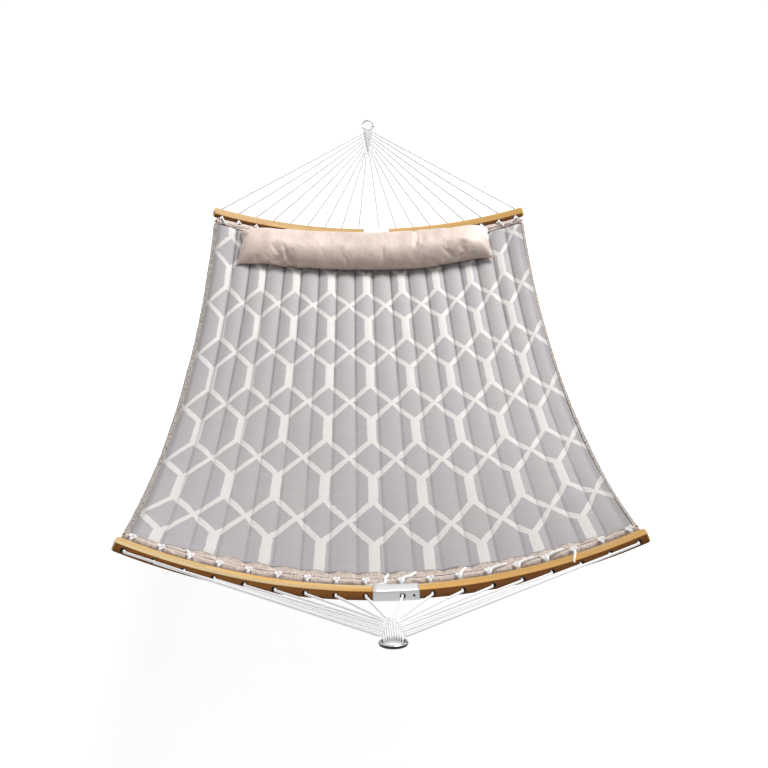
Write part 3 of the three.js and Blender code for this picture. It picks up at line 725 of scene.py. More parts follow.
def quilt_normal(across, share):
    """Direction of the quilt's thickness, which turns into the plane of the bar's bend at its ends."""
    step = 0.0005
    along = hung_quilt(across, share + step) - hung_quilt(across, share - step)
    over = hung_quilt(across + step, share) - hung_quilt(across - step, share)
    normal = unit(np.cross(over, along))
    side = smooth_step(QUILT_SIDE - 0.02, QUILT_SIDE, np.abs(across))
    normal[..., 0] *= 1 - side
    end = smooth_step(0.97, 1.0, np.abs(share))[..., None]
    flat, rise = np.sign(share) * math.cos(BAR_LEAN), 0 * share + math.sin(BAR_LEAN)
    outwards = np.stack([0 * share, flat, rise], -1)
    normal = normal - outwards * np.sum(normal * outwards, axis=-1, keepdims=True) * end
    return unit(normal)


def unit(vectors):
    return vectors / np.linalg.norm(vectors, axis=-1, keepdims=True)


def smooth_step(low, high, value):
    share = np.clip((value - low) / (high - low), 0, 1)
    return share * share * (3 - 2 * share)


def ripples(u, v, seed):
    """Smooth noise from -1 to 1 with features one unit apart."""
    table = np.random.RandomState(seed).uniform(-1, 1, (64, 64))
    iu, iv = np.floor(u).astype(int), np.floor(v).astype(int)
    fu, fv = u - iu, v - iv
    fu, fv = fu * fu * (3 - 2 * fu), fv * fv * (3 - 2 * fv)
    corner = lambda a, b: table[(iu + a) % 64, (iv + b) % 64]
    low = corner(0, 0) * (1 - fu) + corner(1, 0) * fu
    high = corner(0, 1) * (1 - fu) + corner(1, 1) * fu
    return low * (1 - fv) + high * fv


# Meshes

class Shape:
    """Points and faces of a piece, with the place of each point on the material it is cut from."""

    def __init__(self):
        self.points = []
        self.places = []
        self.faces = []

    def add(self, points, places=None):
        first = len(self.points)
        self.points.extend(np.asarray(points, float).reshape(-1, 3))
        places = points if places is None else places
        self.places.extend(np.asarray(places, float).reshape(-1, 3))
        return list(range(first, len(self.points)))

    def ring(self, loop, other):
        """Faces between two closed loops of the same length."""
        for k in range(len(loop)):
            after = (k + 1) % len(loop)
            self.faces.append((loop[k], loop[after], other[after], other[k]))

    def wall(self, loop, other, flip=False):
        """Faces between two loops round a hole, on its mouths and its wall."""
        for k in range(len(loop)):
            after = (k + 1) % len(loop)
            corners = (loop[k], other[k], other[after], loop[after])
            self.faces.append(corners[::-1] if flip else corners)

    def tube(self, loops, flip=False):
        """Faces along a row of closed loops, with a cap at each end."""
        for before, after in zip(loops, loops[1:]):
            self.ring(*((after, before) if flip else (before, after)))
        self.faces.append(tuple(loops[0] if flip else loops[0][::-1]))
        self.faces.append(tuple(loops[-1][::-1] if flip else loops[-1]))

    def patch(self, index, flip):
        """Faces over a grid of points."""
        for before, after in zip(index, index[1:]):
            for k in range(len(before) - 1):
                corners = (before[k], after[k], after[k + 1], before[k + 1])
                self.faces.append(corners[::-1] if flip else corners)

    def object(self, name, end=1):
        """Object in the row frame. The foot end, -1, is the mirror image of what was built."""
        points = np.array(self.points) * (1, end, 1) - RING_CENTRE
        faces = self.faces if end > 0 else [face[::-1] for face in self.faces]
        mesh = bpy.data.meshes.new(name)
        mesh.from_pydata(points.tolist(), [], faces)
        mesh.shade_smooth()
        keep_vectors(mesh, "place", np.array(self.places))
        mesh.validate()
        return link(name, mesh)


def keep_vectors(mesh, name, vectors):
    mesh.attributes.new(name, "FLOAT_VECTOR", "POINT").data.foreach_set("vector", vectors.ravel())


def point_places(mesh):
    places = np.zeros(len(mesh.vertices) * 3)
    mesh.attributes["place"].data.foreach_get("vector", places)
    return places.reshape(-1, 3)


def link(name, data):
    made = bpy.data.objects.new(name, data)
    bpy.context.scene.collection.objects.link(made)
    return made


def piece(made, finish_name, body, slot, *nodes):
    """Finishes a piece: its material, the body that it rides on and the nodes that it stands for."""
    if finish_name:
        made.data.materials.clear()
        made.data.materials.append(finish(finish_name))
    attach(made, body)
    if nodes:
        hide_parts(*nodes)
    return made


def settled(made):
    """Replaces an object's mesh by what its modifiers make of it, and removes them."""
    graph = bpy.context.evaluated_depsgraph_get()
    mesh = bpy.data.meshes.new_from_object(made.evaluated_get(graph))
    made.modifiers.clear()
    made.data = mesh
    return made


def thicken(made, thickness):
    """Gives a piece of cloth its thickness, inwards."""
    wall = made.modifiers.new("Cloth", "SOLIDIFY")
    wall.thickness = thickness
    wall.offset = -1


# Bars and sleeves

def bar_outline(depth, height, corner):
    """Outline of a bar in (out, up), anticlockwise from its right end, from the foot of its front face."""
    y, z = depth / 2 - corner, height / 2 - corner
    outline = []
    corners = [(y, z, 0), (-y, z, 90), (-y, -z, 180), (y, -z, 270)]
    spans = [FLAT_STEPS, TOP_STEPS, FLAT_STEPS, TOP_STEPS]
    starts = [(depth / 2, -z), (y, height / 2), (-depth / 2, z), (-y, -height / 2)]
    ends = [(depth / 2, z), (-y, height / 2), (-depth / 2, -z), (y, -height / 2)]
    for start, end, span, (cy, cz, angle) in zip(starts, ends, spans, corners):
        for k in range(span + 1):
            share = k / span
            outline.append(tuple(a + (b - a) * share for a, b in zip(start, end)))
        for k in range(1, CORNER_STEPS):
            turn = math.radians(angle + 90 * k / CORNER_STEPS)
            outline.append((cy + corner * math.cos(turn), cz + corner * math.sin(turn)))
    return outline


def bar_stops(start, end, holes):
    """Lengths of a bar's sections, with a block of them round each hole."""
    stops = [start]
    marks = [(hole - MOUTH_REACH, hole + MOUTH_REACH) for hole in holes] + [(end, end)]
    for low, high in marks:
        count = max(1, round((low - stops[-1]) / 0.011))
        stops.extend(np.linspace(stops[-1], low, count + 1)[1:])
        if high > low:
            stops.extend(np.linspace(low, high, FLAT_STEPS + 1)[1:])
    return stops


def bent_shell(shape, outline, stops, holes, radius, easing, inside=False, taper=None):
    """Wall of a bent bar with round holes through its front and back faces. Returns its end loops and, for
    each hole, the innermost loops of its front and back mouths."""
    count = len(outline)
    grid = []
    for index, length in enumerate(stops):
        narrow, low = taper(index) if taper else (1.0, 1.0)
        rows = [(length, y * narrow, z * low) for y, z in outline]
        grid.append(shape.add(bar_point(*np.array(rows).T), rows))
    blocks = {}
    for hole in holes:
        blocks[hole] = min(range(len(stops)), key=lambda j: abs(stops[j] - (hole - MOUTH_REACH)))
    skipped = {(j, k) for first in blocks.values() for j in range(first, first + FLAT_STEPS)
               for k in (*FRONT_FLAT, *BACK_FLAT)}
    for j in range(len(stops) - 1):
        for k in range(count):
            if (j, k) not in skipped:
                after = (k + 1) % count
                corners = (grid[j][k], grid[j][after], grid[j + 1][after], grid[j + 1][k])
                shape.faces.append(corners[::-1] if inside else corners)

    mouths = []
    for hole, first in blocks.items():
        loops = []
        for flat, out_sign in ((FRONT_FLAT, 1), (BACK_FLAT, -1)):
            a, b = flat[0], flat[-1] + 1
            near = [grid[first + i][a] for i in range(FLAT_STEPS)]
            right = [grid[first + FLAT_STEPS][a + i] for i in range(FLAT_STEPS)]
            far = [grid[first + FLAT_STEPS - i][b] for i in range(FLAT_STEPS)]
            left = [grid[first][b - i] for i in range(FLAT_STEPS)]
            border = near + right + far + left
            out = shape.places[border[0]][1]
            for wider, deeper in ((easing, 0), (easing * 0.3, easing * 0.3), (0, easing)):
                rows = []
                for index, corner in enumerate(border):
                    turn = math.radians(225 + 360 * index / MOUTH_STEPS)
                    reach_here = radius + wider
                    up = reach_here * math.sin(turn) * out_sign
                    rows.append((hole + reach_here * math.cos(turn), out - out_sign * deeper, up))
                loop = shape.add(bar_point(*np.array(rows).T), rows)
                shape.wall(border, loop, inside)
                border = loop
            loops.append(border)
        mouths.append(loops)
    return grid[0], grid[-1], mouths


def join_mouths(shape, front, back):
    """Wall of a hole between its front mouth and its back one, whose points run the other way round."""
    paired = [min(back, key=lambda i: np.sum((shape.places[i][[0, 2]] - shape.places[f][[0, 2]]) ** 2))
              for f in front]
    shape.wall(front, paired)


def bar_half(side):
    """Right half of a bar, or its mirror image on the left."""
    shape = Shape()
    holes = [FIRST_HOLE + k * HOLE_PITCH for k in range(HOLE_COUNT)]
    tip = BAR_LENGTH / 2
    stops = bar_stops(SPLIT_GAP / 2, tip - BAR_END_ROUND, holes)
    plain = len(stops)
    turns = [math.radians(a) for a in (20, 38, 54, 68, 80)]
    stops += [tip - BAR_END_ROUND + BAR_END_ROUND * math.sin(t) for t in turns] + [tip]

    def taper(index):
        if index < plain:
            return 1.0, 1.0
        if index == len(stops) - 1:
            return 1 - 2 * BAR_END_ROUND / BAR_DEPTH, 0.93
        inset = BAR_END_ROUND * (1 - math.cos(turns[index - plain]))
        return 1 - 2 * inset / BAR_DEPTH, 1.0 if index < len(stops) - 2 else 0.98

    outline = bar_outline(BAR_DEPTH, BAR_HEIGHT, BAR_CORNER)
    start, end, mouths = bent_shell(
        shape, outline, stops, holes, HOLE_RADIUS, HOLE_EASING, taper=taper)
    shape.faces.append(tuple(start[::-1]))
    shape.faces.append(tuple(end))
    for front, back in mouths:
        join_mouths(shape, front, back)
    if side < 0:
        shape.points = [point * (-1, 1, 1) for point in shape.points]
        shape.places = [place * (-1, 1, 1) for place in shape.places]
        shape.faces = [face[::-1] for face in shape.faces]
    return shape


def bar_sleeve():
    shape = Shape()
    stops = bar_stops(-SLEEVE_ON_LEFT, SLEEVE_ON_RIGHT, [FIRST_HOLE])
    shells = []
    for inset, inside in ((0.0, False), (SLEEVE_WALL, True)):
        depth, height = SLEEVE_DEPTH - 2 * inset, SLEEVE_HEIGHT - 2 * inset
        outline = bar_outline(depth, height, BAR_CORNER - inset / 2)
        shells.append(bent_shell(
            shape, outline, stops, [FIRST_HOLE], SLEEVE_HOLE_RADIUS, SLEEVE_HOLE_EASING, inside=inside))
    (start, end, mouths), (inner_start, inner_end, inner_mouths) = shells
    shape.ring(start[::-1], inner_start[::-1])
    shape.ring(end, inner_end)
    for outer, inner in zip(mouths[0], inner_mouths[0]):
        shape.wall(outer, inner)
    return shape


def sleeve_screw():
    """Domed head with a cross recess, on a plain shank."""
    shape = Shape()
    sides, face = 32, SLEEVE_DEPTH / 2 + SEAT_GAP
    profile = [(SCREW_SHANK_RADIUS, face - SCREW_SHANK_LENGTH), (SCREW_SHANK_RADIUS, face)]
    profile += [(SCREW_HEAD_RADIUS, face), (SCREW_HEAD_RADIUS, face + SCREW_RIM)]
    profile += [(SCREW_HEAD_RADIUS * math.cos(t), face + SCREW_RIM + SCREW_DOME * math.sin(t))
                for t in np.linspace(0.15, 1.5, 9)]
    loops = []
    for radius, out in profile:
        rows = []
        for k in range(sides):
            turn = 2 * math.pi * k / sides
            along, up = radius * math.cos(turn), radius * math.sin(turn)
            near, far = sorted((abs(along), abs(up)))
            slot = near < SLOT_HALF_WIDTH and far < SLOT_REACH and out > face + 0.001
            sunk = SLOT_DEPTH if slot else 0.0
            rows.append((SCREW_FROM_SPLIT + along, out - sunk, up))
        loops.append(shape.add(bar_point(*np.array(rows).T), rows))
    shape.tube(loops, flip=True)
    return shape


def hem_rod():
    """Turned dowel with eased ends."""
    shape = Shape()
    stops = [(-ROD_END, 0.75), (-ROD_END + 0.0012, 1.0)]
    stops += [(length, 1.0) for length in np.linspace(-ROD_END + 0.01, ROD_END - 0.01, 90)]
    stops += [(ROD_END - 0.0012, 1.0), (ROD_END, 0.75)]
    loops = []
    for length, share in stops:
        turns = np.linspace(0, 2 * math.pi, 20, endpoint=False)
        out = ROD_RADIUS * share * np.cos(turns) - ROD_FROM_BAR
        up = ROD_RADIUS * share * np.sin(turns)
        loops.append(shape.add(bar_point(length + 0 * out, out, up)))
    shape.tube(loops)
    return shape


# Rings and cords

def drop_axis():
    middle = bar_point(np.array(HOLES), BAR_DEPTH / 2).mean(axis=0)
    drop = middle - RING_CENTRE
    drop[0] = 0
    return unit(drop)


DROP = drop_axis()
RISE = np.array([0.0, DROP[2], -DROP[1]])


def clew_point(x, rise, drop):
    return RING_CENTRE + np.array([x, 0, 0]) + RISE * rise + DROP * drop


def steel_ring():
    """Closed ring of round wire, a little thicker at its weld."""
    shape = Shape()
    loops = []
    steps, sides = 112, 22
    for i in range(steps):
        turn = 2 * math.pi * i / steps
        weld = math.exp(-((turn - 3.6) / 0.055) ** 2)
        rows, places = [], []
        for k in range(sides):
            around = 2 * math.pi * k / sides
            wire = RING_WIRE_RADIUS * (1 + 0.07 * weld)
            reach = RING_RADIUS + wire * math.cos(around)
            side, rise, drop = math.cos(turn), math.sin(around), math.sin(turn)
            rows.append(clew_point(reach * side, wire * rise, reach * drop))
            places.append((side, rise, drop))
        loops.append(shape.add(rows, places))
    for i in range(steps):
        shape.ring(loops[i], loops[(i + 1) % steps])
    return shape


def cord_seat(length):
    """Offsets of a cord against the side of its hole that faces the ring."""
    reach = HOLE_RADIUS * math.cos(math.pi / HOLE_SIDES) - CORD_RADIUS - SEAT_GAP
    turn = length / BEND_RADIUS
    ring = RING_CENTRE - (0, BAR_FROM_CENTRE, 0)
    cosine, sine = math.cos(BAR_LEAN), math.sin(BAR_LEAN)
    ring_z = ring[2] * cosine - ring[1] * sine
    x = -BEND_RADIUS * math.sin(turn)
    z = ring_z - BEND_RADIUS + BEND_RADIUS * math.cos(turn)
    along = x * math.cos(turn) + z * math.sin(turn)
    up = z * math.cos(turn) - x * math.sin(turn)
    scale = reach / math.hypot(along, up)
    return along * scale, up * scale


def bend(before, corner, after, radius, steps=6):
    """Points of a bend that replaces the corner between two straight runs."""
    back, on = unit(before - corner), unit(after - corner)
    half_turn = (math.pi - math.acos(np.clip(back @ on, -1, 1))) / 2
    reach = radius * math.tan(half_turn)
    start, end = corner + back * reach, corner + on * reach
    shares = [i / steps for i in range(steps + 1)]
    return [start * (1 - t) ** 2 + corner * 2 * t * (1 - t) + end * t * t for t in shares]


def leg_route(level, side):
    """One leg of a cord: down its warp, round into its weft, through the bar and round the rod."""
    column = side * (HOLE_COUNT - 1 - level) / 2
    warp = side * math.ceil(abs(column) - 0.001) * WARP_PITCH
    last = level == HOLE_COUNT - 1
    face = -side if last else (1 if level % 2 == 0 else -1)
    across = -side
    weft = FIRST_WEFT + WEFT_PITCH * (2 * level + (1 if side > 0 else 0))
    way_out = -warp + across * WEFT_EXIT
    hole = across * (LAST_HOLE - level * HOLE_PITCH)
    along, up = cord_seat(hole)
    mouth = BAR_DEPTH / 2 + MOUTH_BEND_ABOVE_FACE
    corner = bar_point(hole, mouth, up, along)
    exit_corner = clew_point(way_out + across * EXIT_BEND_RADIUS, 0, weft)
    through = bar_point(hole, 0, up, along)
    points = [
        clew_point(warp, face * LAYER_DEPTH, weft - 0.58 * WEFT_PITCH),
        clew_point(
            warp + across * 0.2 * CORD_RADIUS, face * 0.42 * LAYER_DEPTH, weft - 0.2 * WEFT_PITCH),
        clew_point(warp + across * CORD_RADIUS, 0, weft),
        *bend(clew_point(warp, 0, weft), exit_corner, corner, EXIT_BEND_RADIUS),
    ]
    radii = [DRAWN_CORD_RADIUS] * 6
    radii += [ROPE_RADIUS] * (len(points) - 6)
    mouth_bend = bend(exit_corner, corner, through, MOUTH_BEND_RADIUS)
    points += mouth_bend
    points += [
        bar_point(hole, -KNOT_START, up, along),
        bar_point(hole, -KNOT_START - 0.5 * KNOT_LENGTH, up * 0.4, along),
        bar_point(hole, -KNOT_START - KNOT_LENGTH, 0, along),
    ]
    radii += [ROPE_RADIUS] * (len(mouth_bend) + 2) + [DRAWN_CORD_RADIUS]
    for step in range(13):
        turn = WRAP_START + WRAP_TURN * step / 12
        out = WRAP_RADIUS * math.cos(turn) - ROD_FROM_BAR
        points.append(bar_point(hole, out, WRAP_RADIUS * math.sin(turn), along))
        radii.append(DRAWN_CORD_RADIUS)
    return points, radii, warp, hole


def bight(warp):
    """Points of a cord over the ring, from its upper leg to its lower one."""
    outer = abs(warp) + DRAWN_CORD_RADIUS
    inside = math.sqrt(max(0.0, (RING_RADIUS - RING_WIRE_RADIUS) ** 2 - outer ** 2))
    top = inside - SEAT_GAP - DRAWN_CORD_RADIUS
    side = math.sqrt(RING_RADIUS ** 2 - warp ** 2)
    turns = [math.radians(a) for a in range(0, 181, 18)]
    return [clew_point(warp, BIGHT_RADIUS * math.cos(t), side - (side - top) * math.sin(t))
            for t in turns]


def knot_turns(hole):
    """Two turns of a stop knot round the cord behind the bar."""
    along, up = cord_seat(hole)
    points = []
    for step in range(33):
        share = step / 32
        turn = 2 * math.pi * KNOT_TURNS * share + hole * 40
        reach = KNOT_REACH * min(1.0, share * 9)
        out = -KNOT_START - KNOT_TURNS_FROM_BAR - KNOT_TURNS_SPAN * share
        points.append(bar_point(
            hole, out, up * 0.5 + reach * math.sin(turn), along + reach * math.cos(turn)))
    return points


def on_hem(hole, lift, along, height):
    """Point at a height above the hem's cloth, lift round it from the side of the bar."""
    reach = HEM_RADIUS + height
    return bar_point(hole, reach * math.cos(lift) - ROD_FROM_BAR, reach * math.sin(lift), along)


def hem_loop(hole):
    """Bight of cord that comes up from the knot and lies on the hem in two lobes, over the cord's slit."""
    along, _ = cord_seat(hole)
    points = [bar_point(hole, -KNOT_START - 0.007, 0.003, along - 0.002)]
    points.append(bar_point(hole, -KNOT_START - 0.009, 0.012, along - 0.0016))
    for step in range(25):
        turn = math.radians(-165 + 330 * step / 24)
        lift = SLIT_LIFT + 0.26 * math.sin(2 * turn)
        height = LOOP_HEIGHT + 0.0012 * (1 + math.cos(turn))
        points.append(on_hem(hole, lift, along + LOOP_REACH * math.sin(turn), height))
    points.append(bar_point(hole, -KNOT_START - 0.009, 0.012, along + 0.0016))
    points.append(bar_point(hole, -KNOT_START - 0.007, 0.003, along + 0.002))
    return points


def cord_tail(hole, climb, drift, lead=0.06):
    """Cut end of a cord, from its knot up behind the bar, over the hem and on to the end of the quilt.
    lead is the share of its drift that it makes behind the bar."""
    along, _ = cord_seat(hole)
    points = [bar_point(hole, -KNOT_START - 0.005, 0.004, along)]
    points.append(bar_point(hole, -KNOT_START - 0.007, 0.014, along + lead * drift))
    for step in range(1, 9):
        share = step / 8
        beyond = -0.008 + share * (0.008 + climb)
        hump = math.sqrt(max(0.0, HEM_RADIUS ** 2 - beyond ** 2))
        up = max(hump, 0.0118) + TAIL_CLEARANCE
        sway = TAIL_SWAY * math.sin(share * 7 + hole * 90)
        aside = drift * (lead + (1 - lead) * share) + sway
        points.append(bar_point(hole, -ROD_FROM_BAR - beyond, up, along + aside))
    return points


def tail_over_bar(hole):
    """Cut end of a cord that comes back over the top of the bar to its front edge."""
    along, _ = cord_seat(hole)
    over = BAR_HEIGHT / 2 + ROPE_RADIUS + SEAT_GAP
    back, front = -BAR_DEPTH / 2, BAR_DEPTH / 2
    route = (
        (back - 0.008, 0.004, 0.0), (back - 0.008, over - 0.004, 0.001), (back + 0.002, over + 0.001, 0.0),
        (0.0, over, -0.006), (front - 0.003, over, -0.012), (front + 0.004, over - 0.004, -0.015))
    return [bar_point(hole, out, up, along + drift) for out, up, drift in route]


def chain_tree(name, step, **numbers):
    """Geometry Nodes tree that begins with its chains resampled by the number called step. Also returns
    what gives the sockets of its input, and the resampled chains."""
    tree = bpy.data.node_groups.new(name, "GeometryNodeTree")
    face = tree.interface
    face.new_socket("Geometry", in_out="INPUT", socket_type="NodeSocketGeometry")
    for label, value in numbers.items():
        made = face.new_socket(label.replace("_", " "), in_out="INPUT", socket_type="NodeSocketFloat")
        made.default_value = value
    face.new_socket("Material", in_out="INPUT", socket_type="NodeSocketMaterial")
    face.new_socket("Geometry", in_out="OUTPUT", socket_type="NodeSocketGeometry")
    n = Nodes(tree)
    given = tree.nodes.new("NodeGroupInput")

    def socket(name):
        return Socket(n, given.outputs[name])

    chain = n.add("GeometryNodeMeshToCurve", None, {"Mesh": socket("Geometry")})
    inputs = {"Curve": chain, "Length": socket(step)}
    return n, socket, n.add("GeometryNodeResampleCurve", {"mode": "LENGTH"}, inputs)


def finished_tree(n, made, material):
    """Ends a tree with smooth shading, the material and its output."""
    made = n.add("GeometryNodeRealizeInstances", None, {"Geometry": made})
    made = n.add("GeometryNodeSetShadeSmooth", None, {"Geometry": made})
    made = n.add("GeometryNodeSetMaterial", None, {"Geometry": made, "Material": material})
    result = n.tree.nodes.new("NodeGroupOutput")
    n.tree.links.new(made.output, result.inputs["Geometry"])
    return n.tree


def rope_tree():
    """Rope of three strands laid round one another, along chains of points."""
    n, socket, chain = chain_tree("Laid rope", "Step", Step=0.003, Lay=sizes().lay, Strand_depth=0.12)
    girth = n.add(
        "GeometryNodeInputNamedAttribute", {"data_type": "FLOAT"}, {"Name": "girth"}, "Attribute")
    chain = n.add("GeometryNodeSetCurveRadius", None, {"Curve": chain, "Radius": girth})
    length = n.add("GeometryNodeSplineParameter", None, (), "Length")
    turns = length / socket("Lay") * (2 * math.pi)
    chain = n.add("GeometryNodeSetCurveTilt", None, {"Curve": chain, "Tilt": turns})

    circle = n.add(
        "GeometryNodeCurvePrimitiveCircle", {"mode": "RADIUS"}, {"Resolution": 12, "Radius": 1.0})
    around = n.add("GeometryNodeSplineParameter", None, (), "Factor") * (6 * math.pi)
    hollow = 0.5 - around.math("COSINE") * 0.5
    centre = n.add("GeometryNodeInputPosition")
    shrunk = 1 - hollow * socket("Strand depth")
    grown = n.add("ShaderNodeVectorMath", {"operation": "SCALE"}, {0: centre, "Scale": shrunk})
    circle = n.add("GeometryNodeSetPosition", None, {"Geometry": circle, "Position": grown})
    settings = {"data_type": "FLOAT", "domain": "POINT"}
    inputs = {"Geometry": circle, "Name": "groove", "Value": hollow}
    circle = n.add("GeometryNodeStoreNamedAttribute", settings, inputs)

    skin = n.add(
        "GeometryNodeCurveToMesh", None,
        {"Curve": chain, "Profile Curve": circle, "Fill Caps": True, "Scale": girth})
    return finished_tree(n, skin, socket("Material"))


def grow(made, tree, finish_name):
    """Replaces an object's chains by what a tree makes of them."""
    modifier = made.modifiers.new("Growth", "NODES")
    modifier.node_group = tree
    sockets = {item.name: item.identifier for item in tree.interface.items_tree}
    modifier[sockets["Material"]] = finish(finish_name)
    settled(made)


def smooth_path(points, radii):
    """More points on a smooth curve through the given ones."""
    points = np.array(points)
    keep = [0] + [i for i in range(1, len(points)) if np.linalg.norm(points[i] - points[i - 1]) > 1e-5]
    points, radii = points[keep], np.array(radii)[keep]
    padded = np.vstack([2 * points[0] - points[1], points, 2 * points[-1] - points[-2]])
    path, girths = [], []
    for i in range(1, len(padded) - 2):
        p0, p1, p2, p3 = padded[i - 1:i + 3]
        t1 = np.linalg.norm(p1 - p0) ** 0.5
        t2 = t1 + np.linalg.norm(p2 - p1) ** 0.5
        t3 = t2 + np.linalg.norm(p3 - p2) ** 0.5
        count = int(np.clip(np.linalg.norm(p2 - p1) / 0.002, 1, 10))
        for k in range(count):
            t = t1 + (t2 - t1) * k / count
            a1 = p0 * (t1 - t) / t1 + p1 * t / t1
            a2 = p1 * (t2 - t) / (t2 - t1) + p2 * (t - t1) / (t2 - t1)
            a3 = p2 * (t3 - t) / (t3 - t2) + p3 * (t - t2) / (t3 - t2)
            b1 = a1 * (t2 - t) / t2 + a2 * t / t2
            b2 = a2 * (t3 - t) / (t3 - t1) + a3 * (t - t1) / (t3 - t1)
            path.append(b1 * (t2 - t) / (t2 - t1) + b2 * (t - t1) / (t2 - t1))
            girths.append(radii[i - 1] + (radii[i] - radii[i - 1]) * k / count)
    path.append(points[-1])
    girths.append(radii[-1])
    return path, girths


def chains_object(name, chains, end, attributes=("girth",)):
    """Object of chains of edges, each a list of points and one list of numbers for each attribute."""
    points, edges, values = [], [], {a: [] for a in attributes}
    for chain, *numbers in chains:
        first = len(points)
        points.extend(chain)
        edges.extend((first + k, first + k + 1) for k in range(len(chain) - 1))
        for attribute, given in zip(attributes, numbers):
            values[attribute].extend(given)
    mesh = bpy.data.meshes.new(name)
    mesh.from_pydata((np.array(points) * (1, end, 1) - RING_CENTRE).tolist(), edges, [])
    for attribute in attributes:
        given = np.array(values[attribute], float)
        if given.ndim == 1:
            mesh.attributes.new(attribute, "FLOAT", "POINT").data.foreach_set("value", given)
        else:
            keep_vectors(mesh, attribute, given * (1, end, 1))
    return link(name, mesh)


def cord_chains(number, end):
    """Chains of cord number 0, which has a leg to each side, or of one with both legs on one side."""
    rank = math.ceil(number / 2)
    side = 1 if number % 2 == 0 else -1
    level = HOLE_COUNT - 1 - 2 * rank
    upper = leg_route(HOLE_COUNT - 1, -1) if rank == 0 else leg_route(level, side)
    lower = leg_route(HOLE_COUNT - 1, 1) if rank == 0 else leg_route(level + 1, side)
    over = bight(upper[2])
    points = upper[0][::-1] + over + lower[0]
    radii = upper[1][::-1] + [DRAWN_CORD_RADIUS] * len(over) + lower[1]
    chains = [smooth_path(points, radii)]
    for hole in (upper[3], lower[3]):
        routes = [(knot_turns(hole), KNOT_CORD_RADIUS), (hem_loop(hole), LOOP_CORD_RADIUS)]
        tail = TAILS[end].get(round(hole, 3))
        if tail:
            routes.append((cord_tail(hole, *tail), TAIL_RADIUS))
        if round(hole, 3) in OVER_BAR[end]:
            routes.append((tail_over_bar(hole), ROPE_RADIUS))
        chains.extend(smooth_path(route, [radius] * len(route)) for route, radius in routes)
    return chains


# Hems, quilt and bindings

def cord_places():
    return np.array([hole + cord_seat(hole)[0] for hole in HOLES])


def hem_tube():
    """Cloth tube round a rod, creased, and slit on top where each cord goes in."""
    shape = Shape()
    sides, count = 36, 520
    lengths = np.linspace(-HEM_END, HEM_END, count)
    turns = np.linspace(0, 2 * math.pi, sides, endpoint=False)
    length, turn = np.meshgrid(lengths, turns, indexing="ij")
    nearest = np.abs(length[..., None] - cord_places()).min(axis=-1)
    lift = np.abs(turn - SLIT_LIFT)
    slit = (1 - smooth_step(0.0075, 0.0105, nearest)) * (1 - smooth_step(0.16, 0.30, lift))
    crease = ripples(length / 0.021, turn / 0.5 + length * 9, 3) * HEM_CREASE
    crease += ripples(length / 0.009, turn / 0.9, 5) * HEM_FINE_CREASE
    drawn = np.exp(-(nearest / 0.012) ** 2) * HEM_PULL * np.cos(turn)
    radius = HEM_RADIUS - 0.0002 + crease - drawn - slit * SLIT_DEPTH
    out = radius * np.cos(turn) - ROD_FROM_BAR
    points = bar_point(length, out, radius * np.sin(turn))
    # The slit mark also paints the hem's cloth dark there, as painted shade in the opening.
    places = np.stack([length, turn * HEM_RADIUS, slit], axis=-1)
    index = np.array(shape.add(points, places)).reshape(count, sides)
    for before, after in zip(index, index[1:]):
        shape.ring(before, after)
    for upper in (True, False):
        hem_facing(shape, upper)
    return shape


def hem_facing(shape, upper):
    """Gathered edge of the hem that laps over the end of the quilt, on its top or on its underside."""
    count = 620
    side = 1 if upper else -1
    across = np.linspace(-QUILT_SIDE + 0.001, QUILT_SIDE - 0.001, count)
    length = BEND_RADIUS * np.arcsin(across / BEND_RADIUS)
    ragged = 1 + ripples(across / 0.017, 0 * across + 4, 41 + side) * 0.16
    depth = FACING_DEPTH * ragged * (1 - 0.85 * smooth_step(0.46, 0.69, np.abs(length)))
    rows, marks = [], []
    for lift in (102, 116, 130, 144, 157):
        turn = math.radians(lift) * side
        reach = HEM_RADIUS + 0.0006 + 0.0002 * len(rows)
        out = reach * math.cos(turn) - ROD_FROM_BAR
        rows.append(bar_point(length, out, reach * math.sin(turn)))
        marks.append((0.0028 * len(rows), 0 * across))
    for share in np.linspace(0.12, 1, 9):
        place = 1 - share * depth / quilt_end(0.0)[1]
        gather = ripples(across / 0.0085, 0 * across + share, 43 + side) * 0.0016 * (1 - 0.4 * share)
        lift = quilt_heights(across, place, upper) + 0.0011 + np.abs(gather)
        rows.append(hung_quilt(across, place) + quilt_normal(across, place) * (side * lift)[:, None])
        shaded = smooth_step(0.80, 1.0, share) * (0.45 + 0.3 * ripples(across / 0.012, 0 * across, 47))
        marks.append((0.018 + 0.022 * share, shaded))
    points = np.stack(rows, axis=1)
    places = np.stack([np.stack([length, 0 * across + v, shaded], -1) for v, shaded in marks], axis=1)
    index = np.array(shape.add(points, places)).reshape(count, len(rows))
    shape.patch(index, flip=not upper)


def quilt_heights(across, share, top):
    """Half thickness of the stuffed quilt at each place, with the soft dents of its wadding."""
    channel = np.interp(across, seam_places(), np.arange(CHANNELS + 1))
    part = channel - np.floor(channel)
    round_part = np.sin(np.pi * part)
    full = sizes().crown * (1 + 0.42 * smooth_step(0.0, 0.8, share)) * (1.0 if top else 0.86)
    w = share * BED_LENGTH / 2
    number = np.floor(channel) * 7.31
    dents = ripples(number, w / 0.085, 11) * 0.13 + ripples(number + 3, w / 0.034, 12) * 0.05
    near_seam = np.exp(-(np.abs(part - np.round(part)) / 0.16))
    puckers = ripples(np.round(channel) * 3.7, w / 0.011, 13) * near_seam
    to_hem = smooth_step(0, THINNER_BEFORE_HEM, BED_LENGTH / 2 * (1 - np.abs(share)))
    crown = (full - SEAM_HALF_THICKNESS) * round_part ** 0.60 * (1 + dents) * (0.45 + 0.55 * to_hem)
    return SEAM_HALF_THICKNESS + crown + puckers * PUCKER_HEIGHT * to_hem


